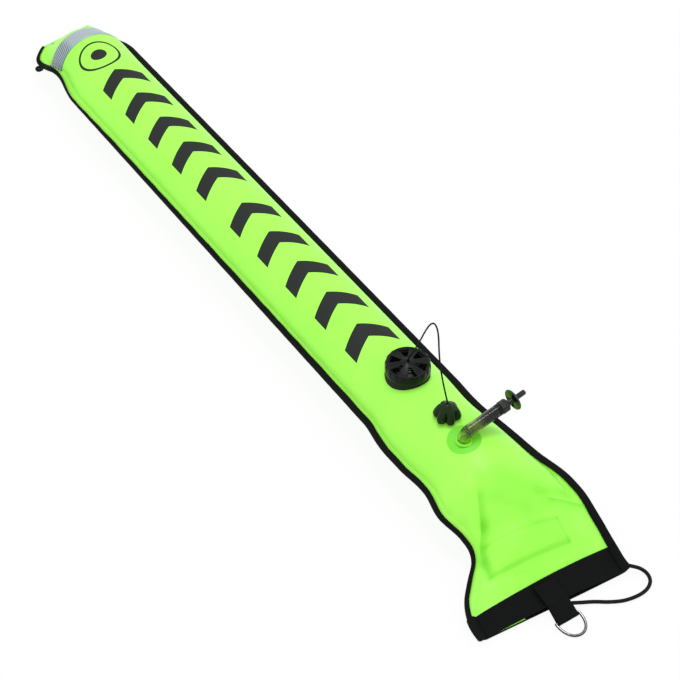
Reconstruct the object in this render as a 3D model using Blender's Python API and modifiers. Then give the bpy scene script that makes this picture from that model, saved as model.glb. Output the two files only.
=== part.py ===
"""Surface marker buoy: a long inflated tube lying on its back.

It has a dump valve, an inflator and a flat open mouth.
Frame: +Z up, +Y along the tube towards its closed top end, +X to the right of who reads the front face.
The origin is on the floor under the middle of the dump valve. Lengths are in metres.
"""

import math

import bmesh
import bpy
import numpy as np
from mathutils import Matrix, Vector

MM = 0.001
GAP = 0.3 * MM
WELD_DISTANCE = 0.01 * MM

# Tube, from the centre line and the floor
HALF_WIDTH = 60 * MM
SEAM_HEIGHT = 38 * MM
FRONT_RISE = 38 * MM
BACK_SPARE = 3 * MM
SKIN = 0.8 * MM
SEAM_WIDTH = 9.5 * MM
MOUTH_Y = -291 * MM
MOUTH_SKEW = 6 * MM
TAIL_LENGTH = 285 * MM
TOP_Y = 811 * MM
TOP_CORNER = 18 * MM
TOP_NARROWER = 7 * MM
DOME_LENGTH = 66 * MM
DOME_POWER = 2.5
EAR_DROOP = 12 * MM
EAR_START = 32 * MM
EAR_END = 8 * MM
TOP_SKEW = 8 * MM
ARCH_STEPS = 12
CORNER_STEPS = 5
CLOSE_ROWS = 13 * MM
WIDE_ROWS = 100 * MM
BAND_ROWS = 7 * MM
END_ROWS = 9 * MM
CUT_REACH = 12 * MM

# Edge tape, mouth webbing and reflective tape
TAPE_WIDTH = 7.5 * MM
TAPE = 0.7 * MM
TAPE_CLEAR = 0.5 * MM
MOUTH_BAND_WIDTH = 26 * MM
MOUTH_BAND_EASE = 21 * MM
MOUTH_BAND_LIFT = 0.1 * MM
WEBBING = 1.1 * MM
REFLECTIVE_START = 743 * MM
REFLECTIVE_WIDTH = 20 * MM
REFLECTIVE = 0.4 * MM

# Seam routes in the tail: distance from the mouth, distance outside HALF_WIDTH, share of SEAM_HEIGHT
LEFT_TAIL = (
    (0 * MM, 50 * MM, 0.19),
    (22 * MM, 47 * MM, 0.22),
    (45 * MM, 35 * MM, 0.29),
    (60 * MM, 21 * MM, 0.38),
    (73 * MM, 7 * MM, 0.50),
    (85 * MM, 1.5 * MM, 0.61),
    (99 * MM, 1.5 * MM, 0.74),
    (133 * MM, 8 * MM, 0.93),
    (166 * MM, 2 * MM, 0.98),
    (207 * MM, 5 * MM, 1.0),
    (247 * MM, 5 * MM, 1.0),
    (285 * MM, 0 * MM, 1.0),
)
RIGHT_TAIL = (
    (0 * MM, 11 * MM, 0.22),
    (33 * MM, 14 * MM, 0.42),
    (60 * MM, 17 * MM, 0.64),
    (88 * MM, 18.5 * MM, 0.86),
    (106 * MM, 17.5 * MM, 0.94),
    (149 * MM, 9 * MM, 1.0),
    (193 * MM, 4.5 * MM, 1.0),
    (240 * MM, -1 * MM, 1.0),
    (285 * MM, 0 * MM, 1.0),
)
# Share of the full rise: distance from the mouth, share
TAIL_FULLNESS = (
    (0 * MM, 0.12),
    (35 * MM, 0.20),
    (71 * MM, 0.37),
    (101 * MM, 0.60),
    (131 * MM, 0.84),
    (161 * MM, 0.96),
    (191 * MM, 1.0),
)
# Angle by which the edges curl up beside the mouth: distance from the mouth, angle
EDGE_CURL = (
    (0 * MM, math.radians(30)),
    (30 * MM, math.radians(30)),
    (60 * MM, math.radians(14)),
    (90 * MM, 0.0),
)
# Top end's narrowing: distance below the corner's centre, share of TOP_NARROWER
LEFT_WAIST = (
    (120 * MM, 0.0),
    (94 * MM, 0.45),
    (64 * MM, 1.25),
    (52 * MM, 1.2),
    (38 * MM, 0.7),
    (20 * MM, 0.75),
    (0 * MM, 0.75),
)
RIGHT_WAIST = ((66 * MM, 0.0), (50 * MM, 0.3), (36 * MM, 0.85), (20 * MM, 1.0), (0 * MM, 1.0))

# Dump valve, heights above the ridge of the front face
BOSS_OUTER = 24.6 * MM
BOSS_INNER = 20 * MM
BOSS_HEIGHT = 3 * MM
BOSS_DEPTH = 12 * MM
THROAT_OUTER = 16.7 * MM
THROAT_BORE = 13.4 * MM
THROAT_DEPTH = 6 * MM
FLANGE = 1.7 * MM
WALL_OUTER = 21.6 * MM
WALL_INNER = 19.8 * MM
WALL_TOP = 10.8 * MM
SEAT_TOP = 6 * MM
SEAT_WIDTH = 1.2 * MM
SEAT_SLOPE = 0.9 * MM
GRILLE = 1.6 * MM
GRILLE_WINDOWS = 4
GRILLE_HUB = 4 * MM
GRILLE_RIM = 1 * MM
GRILLE_ANGLE = math.radians(74)
SPOKE = 2.4 * MM
CAP_OUTER = 25 * MM
CAP_INNER = 22.2 * MM
CAP_RIM = 15 * MM
CAP_HUB = 17 * MM
CAP_HUB_RADIUS = 4 * MM
CAP_ROOF = 1.8 * MM
CAP_DISH = 0.8 * MM
CAP_RIM_WIDTH = 4 * MM
CAP_DISH_WIDTH = 2 * MM
CAP_ROUND = 1.5 * MM
CAP_ROUND_DROP = 2.2 * MM
CAP_CORD_CLEAR = 0.8 * MM
CAP_LEDGE = 1.2 * MM
CAP_WINDOWS = 6
WINDOW_INNER = 7 * MM
WINDOW_OUTER = 18.4 * MM
WINDOW_ANGLE = math.radians(42)
WINDOW_START = math.radians(8)
WINDOW_STEPS = 4
GASKET_HEIGHT = 0.9 * MM
GASKET_INSET = 0.3 * MM
SEAL_RADIUS = 16 * MM
SEAL_THICK = 1.2 * MM
POPPET_PLATE = 1.2 * MM
POPPET_BOSS = 3.2 * MM
POPPET_BOSS_HEIGHT = 1.5 * MM
POPPET_RIM = 0.5 * MM
STEM_RADIUS = 2.6 * MM
STEM_DEPTH = 1.2 * MM
SPRING_WIRE = 0.4 * MM
SPRING_TURNS = 3
SPRING_BOTTOM = 11.5 * MM
SPRING_TOP = 6.2 * MM
SPRING_POINTS = 8
WELD_RING = 29 * MM
WELD_THICK = 1.2 * MM
WELD_SPAN = 14 * MM
WELD_DEPTH = 16 * MM
VALVE_MARGIN = 3.6 * MM

# Pull cord and its knob
CORD_RADIUS = 0.9 * MM
KNOT_RADIUS = 2.2 * MM
KNOB_PLACE = Vector((-3 * MM, -76.5 * MM, 0))
KNOB_RADIUS = 14 * MM
KNOB_HEIGHT = 19.5 * MM
KNOB_WALL = 3 * MM
KNOB_CROWN = 7.5 * MM
KNOB_TOP = 4 * MM
KNOB_TOP_DROP = 0.8 * MM
KNOB_DOME = 10 * MM
KNOB_DOME_STEPS = 4
KNOB_FLARE = 2 * MM
KNOB_LOBES = 6
KNOB_SLOT = 2.4 * MM
KNOB_SLOT_TALL = 3.6
KNOB_SLOT_INNER = 7.7 * MM
CORD_POINTS = (
    (0, 0, 17.5),
    (-0.1, -1.5, 24),
    (-0.5, -11, 43),
    (-0.9, -20.5, 65),
    (-1.3, -30, 88),
    (-1.6, -38, 104),
    (-1.9, -45, 111),
    (-2.1, -50, 109),
    (-2.2, -53.5, 99),
    (-2.3, -56, 80),
    (-2.5, -60, 60),
    (-2.8, -67.5, 40),
)

# Inflator: an elbow through the front face, then a push valve along its sloping arm
ELBOW_PLACE = Vector((-7 * MM, -112 * MM, 0))
ELBOW_RADIUS = 6.6 * MM
ELBOW_BORE = 5 * MM
ELBOW_RISE = 10 * MM
ELBOW_BEND = 7 * MM
ELBOW_ARM = 44.5 * MM
ELBOW_TURN = math.radians(4)
ELBOW_TILT = math.radians(7.5)
ELBOW_BEND_STEPS = 6
ELBOW_DEPTH = 4 * MM
ELBOW_WELD = 18 * MM
INSERT_LENGTH = 11 * MM
INSERT_RADIUS = 4.7 * MM
INSERT_FLOOR = 2 * MM
BODY_BORE = 3.9 * MM
GROOVE_DEPTH = 0.4 * MM
GROOVE_WIDTH = 1.8 * MM
GROOVE_SETBACK = 4 * MM
SHOULDER_LENGTH = 4 * MM
BARREL_RADIUS = 5.2 * MM
BARREL_LENGTH = 10.5 * MM
COLLAR_RADIUS = 7.3 * MM
COLLAR_LENGTH = 9 * MM
COLLAR_ROUND = 0.8 * MM
COLLAR_FLUTES = 16
FLUTE_RADIUS = 0.9 * MM
FLUTE_OUT = 0.35 * MM
FLUTE_LENGTH = 7.2 * MM
NECK_RADIUS = 3 * MM
SHAFT_RADIUS = 1.9 * MM
NECK_LENGTH = 6.5 * MM
NECK_SEAL_SQUEEZE = 0.2 * MM
STEP_SETBACK = 6 * MM
HEAD_RIM = 1.3 * MM
HEAD_THICK = 1.2 * MM
VALVE_SEAL = 1.6 * MM
DISC_RADIUS = 12.4 * MM
DISC_THICK = 2.2 * MM
DISC_ROUND = 0.6 * MM
NOZZLE_RADIUS = 3 * MM
NOZZLE_LENGTH = 15 * MM
NOZZLE_BORE = 1.5 * MM
NOZZLE_ROUND = 1.2 * MM
NOZZLE_FOOT = 1 * MM
BORE_SETBACK = 3 * MM
PORT_RADIUS = 1 * MM
PORT_REACH = 6 * MM
PORT_RISE = 1.4 * MM
PUSH_WIRE = 0.3 * MM
PUSH_TURNS = 4

# Mouth fittings
TAB_X = -20 * MM
TAB_WIDTH = 25 * MM
TAB_START = 21 * MM
RING_BAR_Y = -311 * MM
RING_INNER = 26 * MM
RING_WIRE = 1.5 * MM
RING_DEPTH = 22 * MM
RING_SQUARENESS = 0.8
RING_STEPS = 16
TAB_TURN_START = math.radians(-70)
TAB_TURN = math.radians(220)
TAB_TURN_STEPS = 8
BUNGEE_RADIUS = 2 * MM
BUNGEE_SEAT = 1.2 * MM
BUNGEE_START = Vector((0, -300.3 * MM, 6 * MM))
BUNGEE_POINTS = (
    (3, -303.5, 3.4),
    (15.6, -309.5, 2.1),
    (28, -318, 2.1),
    (42, -325, 2.1),
    (58, -328, 2.1),
    (71, -326.5, 2.1),
    (80, -320.5, 2.1),
    (83, -312, 2.8),
    (79.5, -304, 5.4),
)
LOOP_RADIUS = 3.4 * MM
LOOP_CORD = 1.6 * MM
LOOP_REACH = 6 * MM
LOOP_CLEAR = 1.2 * MM
LOOP_Y = 774 * MM
LOOP_STEPS = 8

# Ballast and the self-closing baffle, inside the tail
PLATE_PLACE = Vector((-9 * MM, -232 * MM, 0))
PLATE_LENGTH = 76 * MM
PLATE_WIDTH = 24 * MM
PLATE_THICK = 3 * MM
POCKET_WALL = 0.8 * MM
POCKET_MARGIN = 4 * MM
POCKET_CLEAR = 0.5 * MM
SLIT_WIDTH = 3 * MM
SLIT_HEIGHT = 1 * MM
BAFFLE_SHEET = 0.5 * MM
BAFFLE_START = 29 * MM
BAFFLE_LENGTH = 70 * MM
BAFFLE_HALF_WIDTH = 55 * MM
BAFFLE_LIFT = BAFFLE_SHEET + 2 * GAP
BAFFLE_SIDES = 20
# Share of the sleeve's length, share of its half width, height of its opening
BAFFLE_SHAPE = (
    (0, 1.0, 3.0 * MM),
    (0.35, 0.8, 1.2 * MM),
    (0.7, 0.62, 1.2 * MM),
    (1.0, 0.55, 1.2 * MM),
)

RIDGE = SEAM_HEIGHT + FRONT_RISE + GAP / 2 + SKIN
SEAM_STACK = GAP / 2 + SKIN


def hermite(table, x):
    """Smooth curve through (x, y) pairs, held level past both ends."""
    xs = [p[0] for p in table]
    ys = [p[1] for p in table]
    if x <= xs[0]:
        return ys[0]
    if x >= xs[-1]:
        return ys[-1]
    slopes = np.gradient(ys, xs)
    slopes[0] = slopes[-1] = 0
    i = int(np.searchsorted(xs, x, side="right")) - 1
    width = xs[i + 1] - xs[i]
    t = (x - xs[i]) / width
    return float(
        (2 * t**3 - 3 * t**2 + 1) * ys[i]
        + (t**3 - 2 * t**2 + t) * width * slopes[i]
        + (3 * t**2 - 2 * t**3) * ys[i + 1]
        + (t**3 - t**2) * width * slopes[i + 1]
    )


def step(x, start, end):
    """Smooth step from 0 at start to 1 at end."""
    t = min(max((x - start) / (end - start), 0.0), 1.0)
    return t * t * (3 - 2 * t)


def droop(p):
    """The top end's two ears hang lower than its middle, and its right side reaches further."""
    across = step(abs(p.x), HALF_WIDTH - EAR_START, HALF_WIDTH - EAR_END)
    along = step(p.y, TOP_Y - DOME_LENGTH, TOP_Y - TOP_CORNER)
    reach = TOP_SKEW * p.x / HALF_WIDTH
    return Vector((p.x, p.y + reach * along, p.z - EAR_DROOP * across * along))


class Edge:
    """A point on one seam's outer edge, with the directions along it, inward and up."""

    def __init__(self, point):
        self.point = Vector(point)

    def set_frame(self, along, side):
        self.along = along.normalized()
        level = Vector((0, 0, 1)).cross(self.along).normalized() * side
        curl = hermite(EDGE_CURL, self.point.y - MOUTH_Y)
        self.inward = level * math.cos(curl) - Vector((0, 0, 1)) * math.sin(curl)
        self.up = (self.along.cross(self.inward) * side).normalized()

    def settle(self):
        """Let the seam hang with the top end's ears. root, where the round starts, stays as it was."""
        self.root = self.point + self.inward * SEAM_WIDTH
        self.point = droop(self.point)
        self.inward = (droop(self.root) - self.point) / SEAM_WIDTH

    def set_up(self, along, side):
        self.along = along.normalized()
        self.up = (self.along.cross(self.inward) * side).normalized()

    def at(self, inward, up):
        return self.point + self.inward * inward + self.up * up


def tail_edge(table, reach, side):
    skew = -side * MOUTH_SKEW * (1 - min(reach / TAIL_LENGTH, 1))
    out = hermite([(p[0], p[1]) for p in table], reach)
    lift = hermite([(p[0], p[2]) for p in table], reach)
    return Vector((side * (HALF_WIDTH + out), MOUTH_Y + reach + skew, SEAM_HEIGHT * lift))


def top_edge(y, side):
    waist = sorted(RIGHT_WAIST if side > 0 else LEFT_WAIST)
    below = TOP_Y - TOP_CORNER - y
    half = HALF_WIDTH - TOP_NARROWER * hermite(waist, below)
    return Vector((side * half, y, SEAM_HEIGHT))


def corner_edge(angle, side):
    start = top_edge(TOP_Y - TOP_CORNER, side)
    inward = TOP_CORNER * (1 - math.cos(angle))
    return start + Vector((-side * inward, TOP_CORNER * math.sin(angle), 0))


def spaced(start, end, spacing):
    count = max(1, round((end - start) / spacing))
    return [start + (end - start) * i / count for i in range(count)]


def row_places():
    """Distances of the rows from the mouth: close together where the tube bends, else far apart."""
    valve_end = -MOUTH_Y + WELD_RING + VALVE_MARGIN
    waist = TOP_Y - TOP_CORNER - MOUTH_Y - LEFT_WAIST[0][0]
    corner = TOP_Y - TOP_CORNER - MOUTH_Y
    band_start = REFLECTIVE_START - MOUTH_Y
    band_end = band_start + REFLECTIVE_WIDTH
    places = spaced(0, MOUTH_BAND_WIDTH, CLOSE_ROWS)
    places += spaced(MOUTH_BAND_WIDTH, valve_end, CLOSE_ROWS)
    places += spaced(valve_end, waist, WIDE_ROWS)
    places += spaced(waist, band_start, CLOSE_ROWS)
    places += spaced(band_start, band_end, BAND_ROWS)
    places += spaced(band_end, corner, END_ROWS)
    return places


def seam(side):
    """Edge points from the mouth round to the end of the top corner."""
    table = RIGHT_TAIL if side > 0 else LEFT_TAIL
    points = []
    for place in row_places():
        y = MOUTH_Y + place
        in_tail = y < MOUTH_Y + TAIL_LENGTH
        points.append(tail_edge(table, place, side) if in_tail else top_edge(y, side))
    points += [corner_edge(math.radians(90 * i / CORNER_STEPS), side) for i in range(CORNER_STEPS + 1)]
    edges = [Edge(p) for p in points]
    for i, edge in enumerate(edges):
        before = points[max(i - 1, 0)]
        after = points[min(i + 1, len(points) - 1)]
        edge.set_frame(after - before, side)
    edges[-1].set_frame(Vector((-side, 0, 0)), side)
    for edge in edges:
        edge.settle()
    for i, edge in enumerate(edges[:-1]):
        edge.set_up(edges[i + 1].point - edges[max(i - 1, 0)].point, side)
    edges[-1].set_up(edges[-1].along, side)
    return edges


LEFT = seam(-1)
RIGHT = seam(1)
ROWS = len(LEFT)
COLUMNS = ARCH_STEPS + 3


def fullness(y):
    """Share of the full rise at y: low at the mouth, a wedge with a bent ridge at the top."""
    dome_start = TOP_Y - SEAM_WIDTH - DOME_LENGTH
    if y > dome_start:
        share = min((y - dome_start) / DOME_LENGTH, 1.0)
        return 1 - share**DOME_POWER
    return hermite(TAIL_FULLNESS, y - MOUTH_Y)


def floor_at(y):
    """Height of the back panel's inner face where it is pressed flat: it steps up over the mouth webbing."""
    band_end = MOUTH_Y + MOUTH_BAND_WIDTH
    over_band = 1 - step(y, band_end, band_end + MOUTH_BAND_EASE)
    return SKIN + (GAP + WEBBING + MOUTH_BAND_LIFT) * over_band


def arch(left, right, rise):
    """Points on a circular arc from left to right, rise above their chord."""
    chord = right - left
    half = chord.length / 2
    across = chord.normalized()
    up = (Vector((0, 0, 1)) - across * across.z).normalized()
    if abs(rise) < WELD_DISTANCE:
        return [left.lerp(right, j / ARCH_STEPS) for j in range(ARCH_STEPS + 1)]
    tall = abs(rise)
    radius = (half * half + tall * tall) / (2 * tall)
    spread = math.atan2(half, radius - tall)
    points = []
    for j in range(ARCH_STEPS + 1):
        angle = spread * (2 * j / ARCH_STEPS - 1)
        height = (radius * math.cos(angle) - radius + tall) * math.copysign(1, rise)
        points.append(left.lerp(right, 0.5) + across * radius * math.sin(angle) + up * height)
    return points


def row(i, face):
    """Points across one row of a panel's inner face, seam to seam. face is 1 for front, -1 for back."""
    left, right = LEFT[i], RIGHT[i]
    lift = face * GAP / 2
    y = (left.root.y + right.root.y) / 2
    seam_height = (left.root.z + right.root.z) / 2 + lift
    if face > 0:
        rise = FRONT_RISE * fullness(y)
    else:
        sag = seam_height + BACK_SPARE * fullness(y) - floor_at(y)
        rise = -sag * math.sqrt(fullness(y)) if y > 0 else -sag
    up = Vector((0, 0, lift))
    middle = [droop(p) for p in arch(left.root + up, right.root + up, rise)[1:-1]]
    start = [left.at(0, lift), left.at(SEAM_WIDTH, lift)]
    end = [right.at(SEAM_WIDTH, lift), right.at(0, lift)]
    points = start + middle + end
    if face < 0:
        points = [Vector((p.x, p.y, max(p.z, floor_at(p.y)))) for p in points]
    return points


def grid_faces(rows, columns):
    """Triangles of a grid of points, all cut along one diagonal, so that layers stay apart."""
    faces = []
    for i in range(rows - 1):
        for j in range(columns - 1):
            a = i * columns + j
            faces.append((a, a + 1, a + columns + 1))
            faces.append((a, a + columns + 1, a + columns))
    return faces


def panel_surface(face):
    """Vertices and faces of a panel's inner face, rows first, then the points of the straight top edge."""
    rows = [row(i, face) for i in range(ROWS)]
    verts = [p for points in rows for p in points]
    faces = grid_faces(ROWS, COLUMNS)
    last = (ROWS - 1) * COLUMNS
    end_left, end_right = rows[-1][0], rows[-1][-1]
    end = [last]
    for j in range(1, ARCH_STEPS):
        verts.append(end_left.lerp(end_right, j / ARCH_STEPS))
        end.append(len(verts) - 1)
    end.append(last + COLUMNS - 1)
    for j in range(ARCH_STEPS):
        faces.append((last + j + 1, last + j + 2, end[j + 1]))
        faces.append((last + j + 1, end[j + 1], end[j]))
    if face < 0:
        faces = [f[::-1] for f in faces]
    return verts, faces


def vertex_normals(verts, faces):
    mesh = bpy.data.meshes.new("normals")
    mesh.from_pydata(verts, [], faces)
    mesh.update()
    normals = [v.normal.copy() for v in mesh.vertices]
    bpy.data.meshes.remove(mesh)
    return normals


FRONT_VERTS, FRONT_FACES = panel_surface(1)
BACK_VERTS, BACK_FACES = panel_surface(-1)
FRONT_NORMALS = vertex_normals(FRONT_VERTS, FRONT_FACES)
BACK_NORMALS = vertex_normals(BACK_VERTS, BACK_FACES)


def lifted(i, j, height, face=1):
    """A grid point of a panel, height away from its inner face."""
    k = i * COLUMNS + j
    if face > 0:
        return FRONT_VERTS[k] + FRONT_NORMALS[k] * height
    return BACK_VERTS[k] + BACK_NORMALS[k] * height


def inner_height(x, y, verts):
    """Height of a panel's inner face over (x, y), read from its rows."""
    ys = []
    zs = []
    for i in range(ROWS):
        points = verts[i * COLUMNS + 1 : (i + 1) * COLUMNS - 1]
        across = [p.x for p in points]
        ys.append(np.interp(x, across, [p.y for p in points]))
        zs.append(np.interp(x, across, [p.z for p in points]))
    return float(np.interp(y, ys, zs))


def front_height(x, y):
    """Height of the front panel's outer face over (x, y)."""
    return inner_height(x, y, FRONT_VERTS) + SKIN


def material(name, color, roughness=0.5, metallic=0.0, alpha=1.0):
    found = bpy.data.materials.get(name) or bpy.data.materials.new(name)
    found.use_nodes = True
    shader = found.node_tree.nodes["Principled BSDF"]
    shader.inputs["Base Color"].default_value = (*color, 1.0)
    shader.inputs["Roughness"].default_value = roughness
    shader.inputs["Metallic"].default_value = metallic
    shader.inputs["Alpha"].default_value = alpha
    return found


def add_object(name, mesh, look=None, cutter=False):
    obj = bpy.data.objects.new(name, mesh)
    collection = bpy.data.collections["cutters" if cutter else "surface_marker_buoy"]
    collection.objects.link(obj)
    if cutter:
        obj.hide_render = True
        obj.display_type = "WIRE"
    else:
        mesh.materials.append(look)
    return obj


def add_axis(name, place):
    """An empty on a joint's axis, for pieces whose own origin lies off it."""
    axis = bpy.data.objects.new(name, None)
    bpy.data.collections["surface_marker_buoy"].objects.link(axis)
    axis.matrix_world = place
    return axis


def mesh_object(name, verts, faces, look=None, cutter=False, smooth=True):
    mesh = bpy.data.meshes.new(name)
    mesh.from_pydata([tuple(v) for v in verts], [], faces)
    mesh.update()
    if smooth:
        mesh.shade_smooth()
        mesh.set_sharp_from_angle(angle=math.radians(40))
    return add_object(name, mesh, look, cutter)


def solidify(obj, thickness, offset=1.0, even=True):
    mod = obj.modifiers.new("thickness", "SOLIDIFY")
    mod.thickness = thickness
    mod.offset = offset
    mod.use_even_offset = even
    return obj


def boolean(obj, cutter, operation="DIFFERENCE"):
    mod = obj.modifiers.new(cutter.name, "BOOLEAN")
    mod.operation = operation
    mod.object = cutter
    mod.solver = "EXACT"
    return obj


def turned(name, profile, look=None, place=None, steps=32, cutter=False):
    """A ring or disc turned about Z. profile is (radius, height) pairs that run down its outer side."""
    mesh = bpy.data.meshes.new(name)
    closed = profile[0][0] > 0
    count = len(profile)
    edges = [(i, i + 1) for i in range(count - 1)]
    if closed:
        edges.append((count - 1, 0))
    mesh.from_pydata([(r, 0, z) for r, z in profile], edges, [])
    obj = add_object(name, mesh, look, cutter)
    screw = obj.modifiers.new("turn", "SCREW")
    screw.steps = screw.render_steps = steps
    screw.use_merge_vertices = True
    screw.merge_threshold = WELD_DISTANCE
    screw.use_smooth_shade = False
    if place is not None:
        obj.matrix_world = place
    return obj


def ring_profile(inner, outer, bottom, top):
    return [(inner, top), (outer, top), (outer, bottom), (inner, bottom)]


def cylinder(name, radius, bottom, top, place=None, segments=32):
    mesh = bpy.data.meshes.new(name)
    bm = bmesh.new()
    lift = Matrix.Translation((0, 0, (bottom + top) / 2))
    bmesh.ops.create_cone(
        bm, cap_ends=True, segments=segments, radius1=radius, radius2=radius, depth=top - bottom, matrix=lift
    )
    bm.to_mesh(mesh)
    bm.free()
    obj = add_object(name, mesh, cutter=True)
    if place is not None:
        obj.matrix_world = place
    return obj


def smooth_path(points, spacing):
    """Points about spacing apart along a smooth curve through points."""
    given = [Vector(p) for p in points]
    ends = [2 * given[0] - given[1], *given, 2 * given[-1] - given[-2]]
    path = []
    for a, b, c, d in zip(ends, ends[1:], ends[2:], ends[3:]):
        count = max(1, round((c - b).length / spacing))
        for k in range(count):
            t = k / count
            bend = (2 * a - 5 * b + 4 * c - d) * t**2 + (3 * b - a - 3 * c + d) * t**3
            path.append(0.5 * (2 * b + (c - a) * t + bend))
    path.append(given[-1])
    return path


def tube(name, path, radius, look=None, place=None, resolution=2, cyclic=False, cutter=False):
    """A round tube along path, with filled ends. place is the frame that path is given in."""
    curve = bpy.data.curves.new(name, "CURVE")
    curve.dimensions = "3D"
    curve.bevel_depth = radius
    curve.bevel_resolution = resolution
    curve.use_fill_caps = not cyclic
    spline = curve.splines.new("POLY")
    spline.points.add(len(path) - 1)
    for point, spot in zip(spline.points, path):
        point.co = (*spot, 1.0)
    spline.use_cyclic_u = cyclic
    spline.use_smooth = True
    obj = add_object(name, curve, look, cutter)
    if place is not None:
        obj.matrix_world = place
    return obj


def as_mesh(tube_object):
    """The same tube as a mesh with welded ends, which can be cut or can cut."""
    bpy.context.view_layer.update()
    evaluated = tube_object.evaluated_get(bpy.context.evaluated_depsgraph_get())
    mesh = bpy.data.meshes.new_from_object(evaluated)
    bm = bmesh.new()
    bm.from_mesh(mesh)
    bmesh.ops.remove_doubles(bm, verts=bm.verts, dist=WELD_DISTANCE)
    bmesh.ops.recalc_face_normals(bm, faces=bm.faces)
    bm.to_mesh(mesh)
    bm.free()
    name = tube_object.name
    cutter = tube_object.hide_render
    look = None if cutter else tube_object.data.materials[0]
    curve = tube_object.data
    bpy.data.objects.remove(tube_object)
    bpy.data.curves.remove(curve)
    mesh.materials.clear()
    return add_object(name, mesh, look, cutter)


def least_gap(path, radius, per_turn):
    """Least clear distance between one turn of a coil's wire and the next."""
    gaps = []
    for i, a in enumerate(path):
        for b in path[i + per_turn // 2 :]:
            gaps.append((a - b).length - 2 * radius)
    return min(gaps)


def coil(bottom_radius, top_radius, bottom, top, turns):
    """Points of a spring's wire, from its bottom turn to its top turn."""
    count = turns * SPRING_POINTS
    points = []
    for k in range(count + 1):
        t = k / count
        angle = 2 * math.pi * turns * t
        radius = bottom_radius + (top_radius - bottom_radius) * t
        height = bottom + (top - bottom) * t
        points.append(Vector((radius * math.cos(angle), radius * math.sin(angle), height)))
    return points


def loft(name, sections, look=None, cutter=False, smooth=False):
    """A closed body through sections of equal point counts, with flat ends."""
    count = len(sections[0])
    verts = [p for s in sections for p in s]
    faces = []
    for i in range(len(sections) - 1):
        for j in range(count):
            a, b = i * count + j, i * count + (j + 1) % count
            faces.append((a, b, b + count, a + count))
    faces.append(tuple(range(count))[::-1])
    faces.append(tuple(range((len(sections) - 1) * count, len(sections) * count)))
    obj = mesh_object(name, verts, faces, look, cutter, smooth)
    bm = bmesh.new()
    bm.from_mesh(obj.data)
    bmesh.ops.recalc_face_normals(bm, faces=bm.faces)
    bm.to_mesh(obj.data)
    bm.free()
    return obj


def first_row_from(distance):
    """Index of the first row at or past a distance from the mouth."""
    return next(i for i, place in enumerate(row_places()) if place >= distance - WELD_DISTANCE)


def panel_slab(name, low, high, y_start, y_end):
    """A cutter: the layer between two heights over the front panel's inner face."""
    rows = [i for i in range(ROWS) if y_start <= FRONT_VERTS[i * COLUMNS].y <= y_end]
    top = [[lifted(i, j, high) for j in range(2, COLUMNS - 2)] for i in rows]
    bottom = [[lifted(i, j, low) for j in range(2, COLUMNS - 2)] for i in rows]
    sections = [a + b[::-1] for a, b in zip(top, bottom)]
    return loft(name, sections, cutter=True)


def build_panels(looks):
    front = solidify(mesh_object("front_panel", FRONT_VERTS, FRONT_FACES, looks["fabric"]), SKIN)
    solidify(mesh_object("back_panel", BACK_VERTS, BACK_FACES, looks["fabric"]), SKIN)
    boolean(front, cylinder("valve_hole", THROAT_OUTER + GAP, RIDGE - CUT_REACH, RIDGE + CUT_REACH))
    elbow_z = front_height(ELBOW_PLACE.x, ELBOW_PLACE.y)
    low, high = elbow_z - CUT_REACH, elbow_z + CUT_REACH
    boolean(front, cylinder("elbow_hole", ELBOW_RADIUS + GAP, low, high, Matrix.Translation(ELBOW_PLACE)))


def build_edge_tape(name, edges, look):
    """Tape folded round a seam: a U whose legs lie on both panels, from the webbing to the top edge."""
    start = first_row_from(MOUTH_BAND_WIDTH)
    inner = SEAM_STACK + TAPE_CLEAR
    outer = inner + TAPE
    profile = [
        (TAPE_WIDTH, outer),
        (-GAP - TAPE, outer),
        (-GAP - TAPE, -outer),
        (TAPE_WIDTH, -outer),
        (TAPE_WIDTH, -inner),
        (-GAP, -inner),
        (-GAP, inner),
        (TAPE_WIDTH, inner),
    ]
    sections = [[edge.at(a, b) for a, b in profile] for edge in edges[start:]]
    first = edges[start]
    shift = first.along * (2 * GAP)
    sections[0] = [p + shift for p in sections[0]]
    return loft(name, sections, look)


def build_mouth_band(name, face, look):
    """Webbing on the outside of one lip, folded over the lip's edge."""
    last = first_row_from(MOUTH_BAND_WIDTH)
    fold = []
    lip = []
    for j in range(COLUMNS):
        out = (lifted(0, j, 0, face) - lifted(1, j, 0, face)).normalized() * GAP
        fold.append(lifted(0, j, 0, face) + out)
        lip.append(lifted(0, j, SKIN + GAP, face) + out)
    rows = [fold, lip]
    rows += [[lifted(i, j, SKIN + GAP, face) for j in range(COLUMNS)] for i in range(last + 1)]
    faces = grid_faces(len(rows), COLUMNS)
    if face < 0:
        faces = [f[::-1] for f in faces]
    verts = [p for points in rows for p in points]
    solidify(mesh_object(name, verts, faces, look), WEBBING)


def build_reflective_band(look):
    """Tape over the front face at the top end, from seam to seam."""
    start = first_row_from(REFLECTIVE_START - MOUTH_Y)
    end = first_row_from(REFLECTIVE_START + REFLECTIVE_WIDTH - MOUTH_Y)
    grid = [[lifted(i, j, SKIN + GAP) for j in range(1, COLUMNS - 1)] for i in range(start, end + 1)]
    verts = [p for points in grid for p in points]
    faces = grid_faces(len(grid), len(grid[0]))
    solidify(mesh_object("reflective_band", verts, faces, look), REFLECTIVE)


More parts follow.
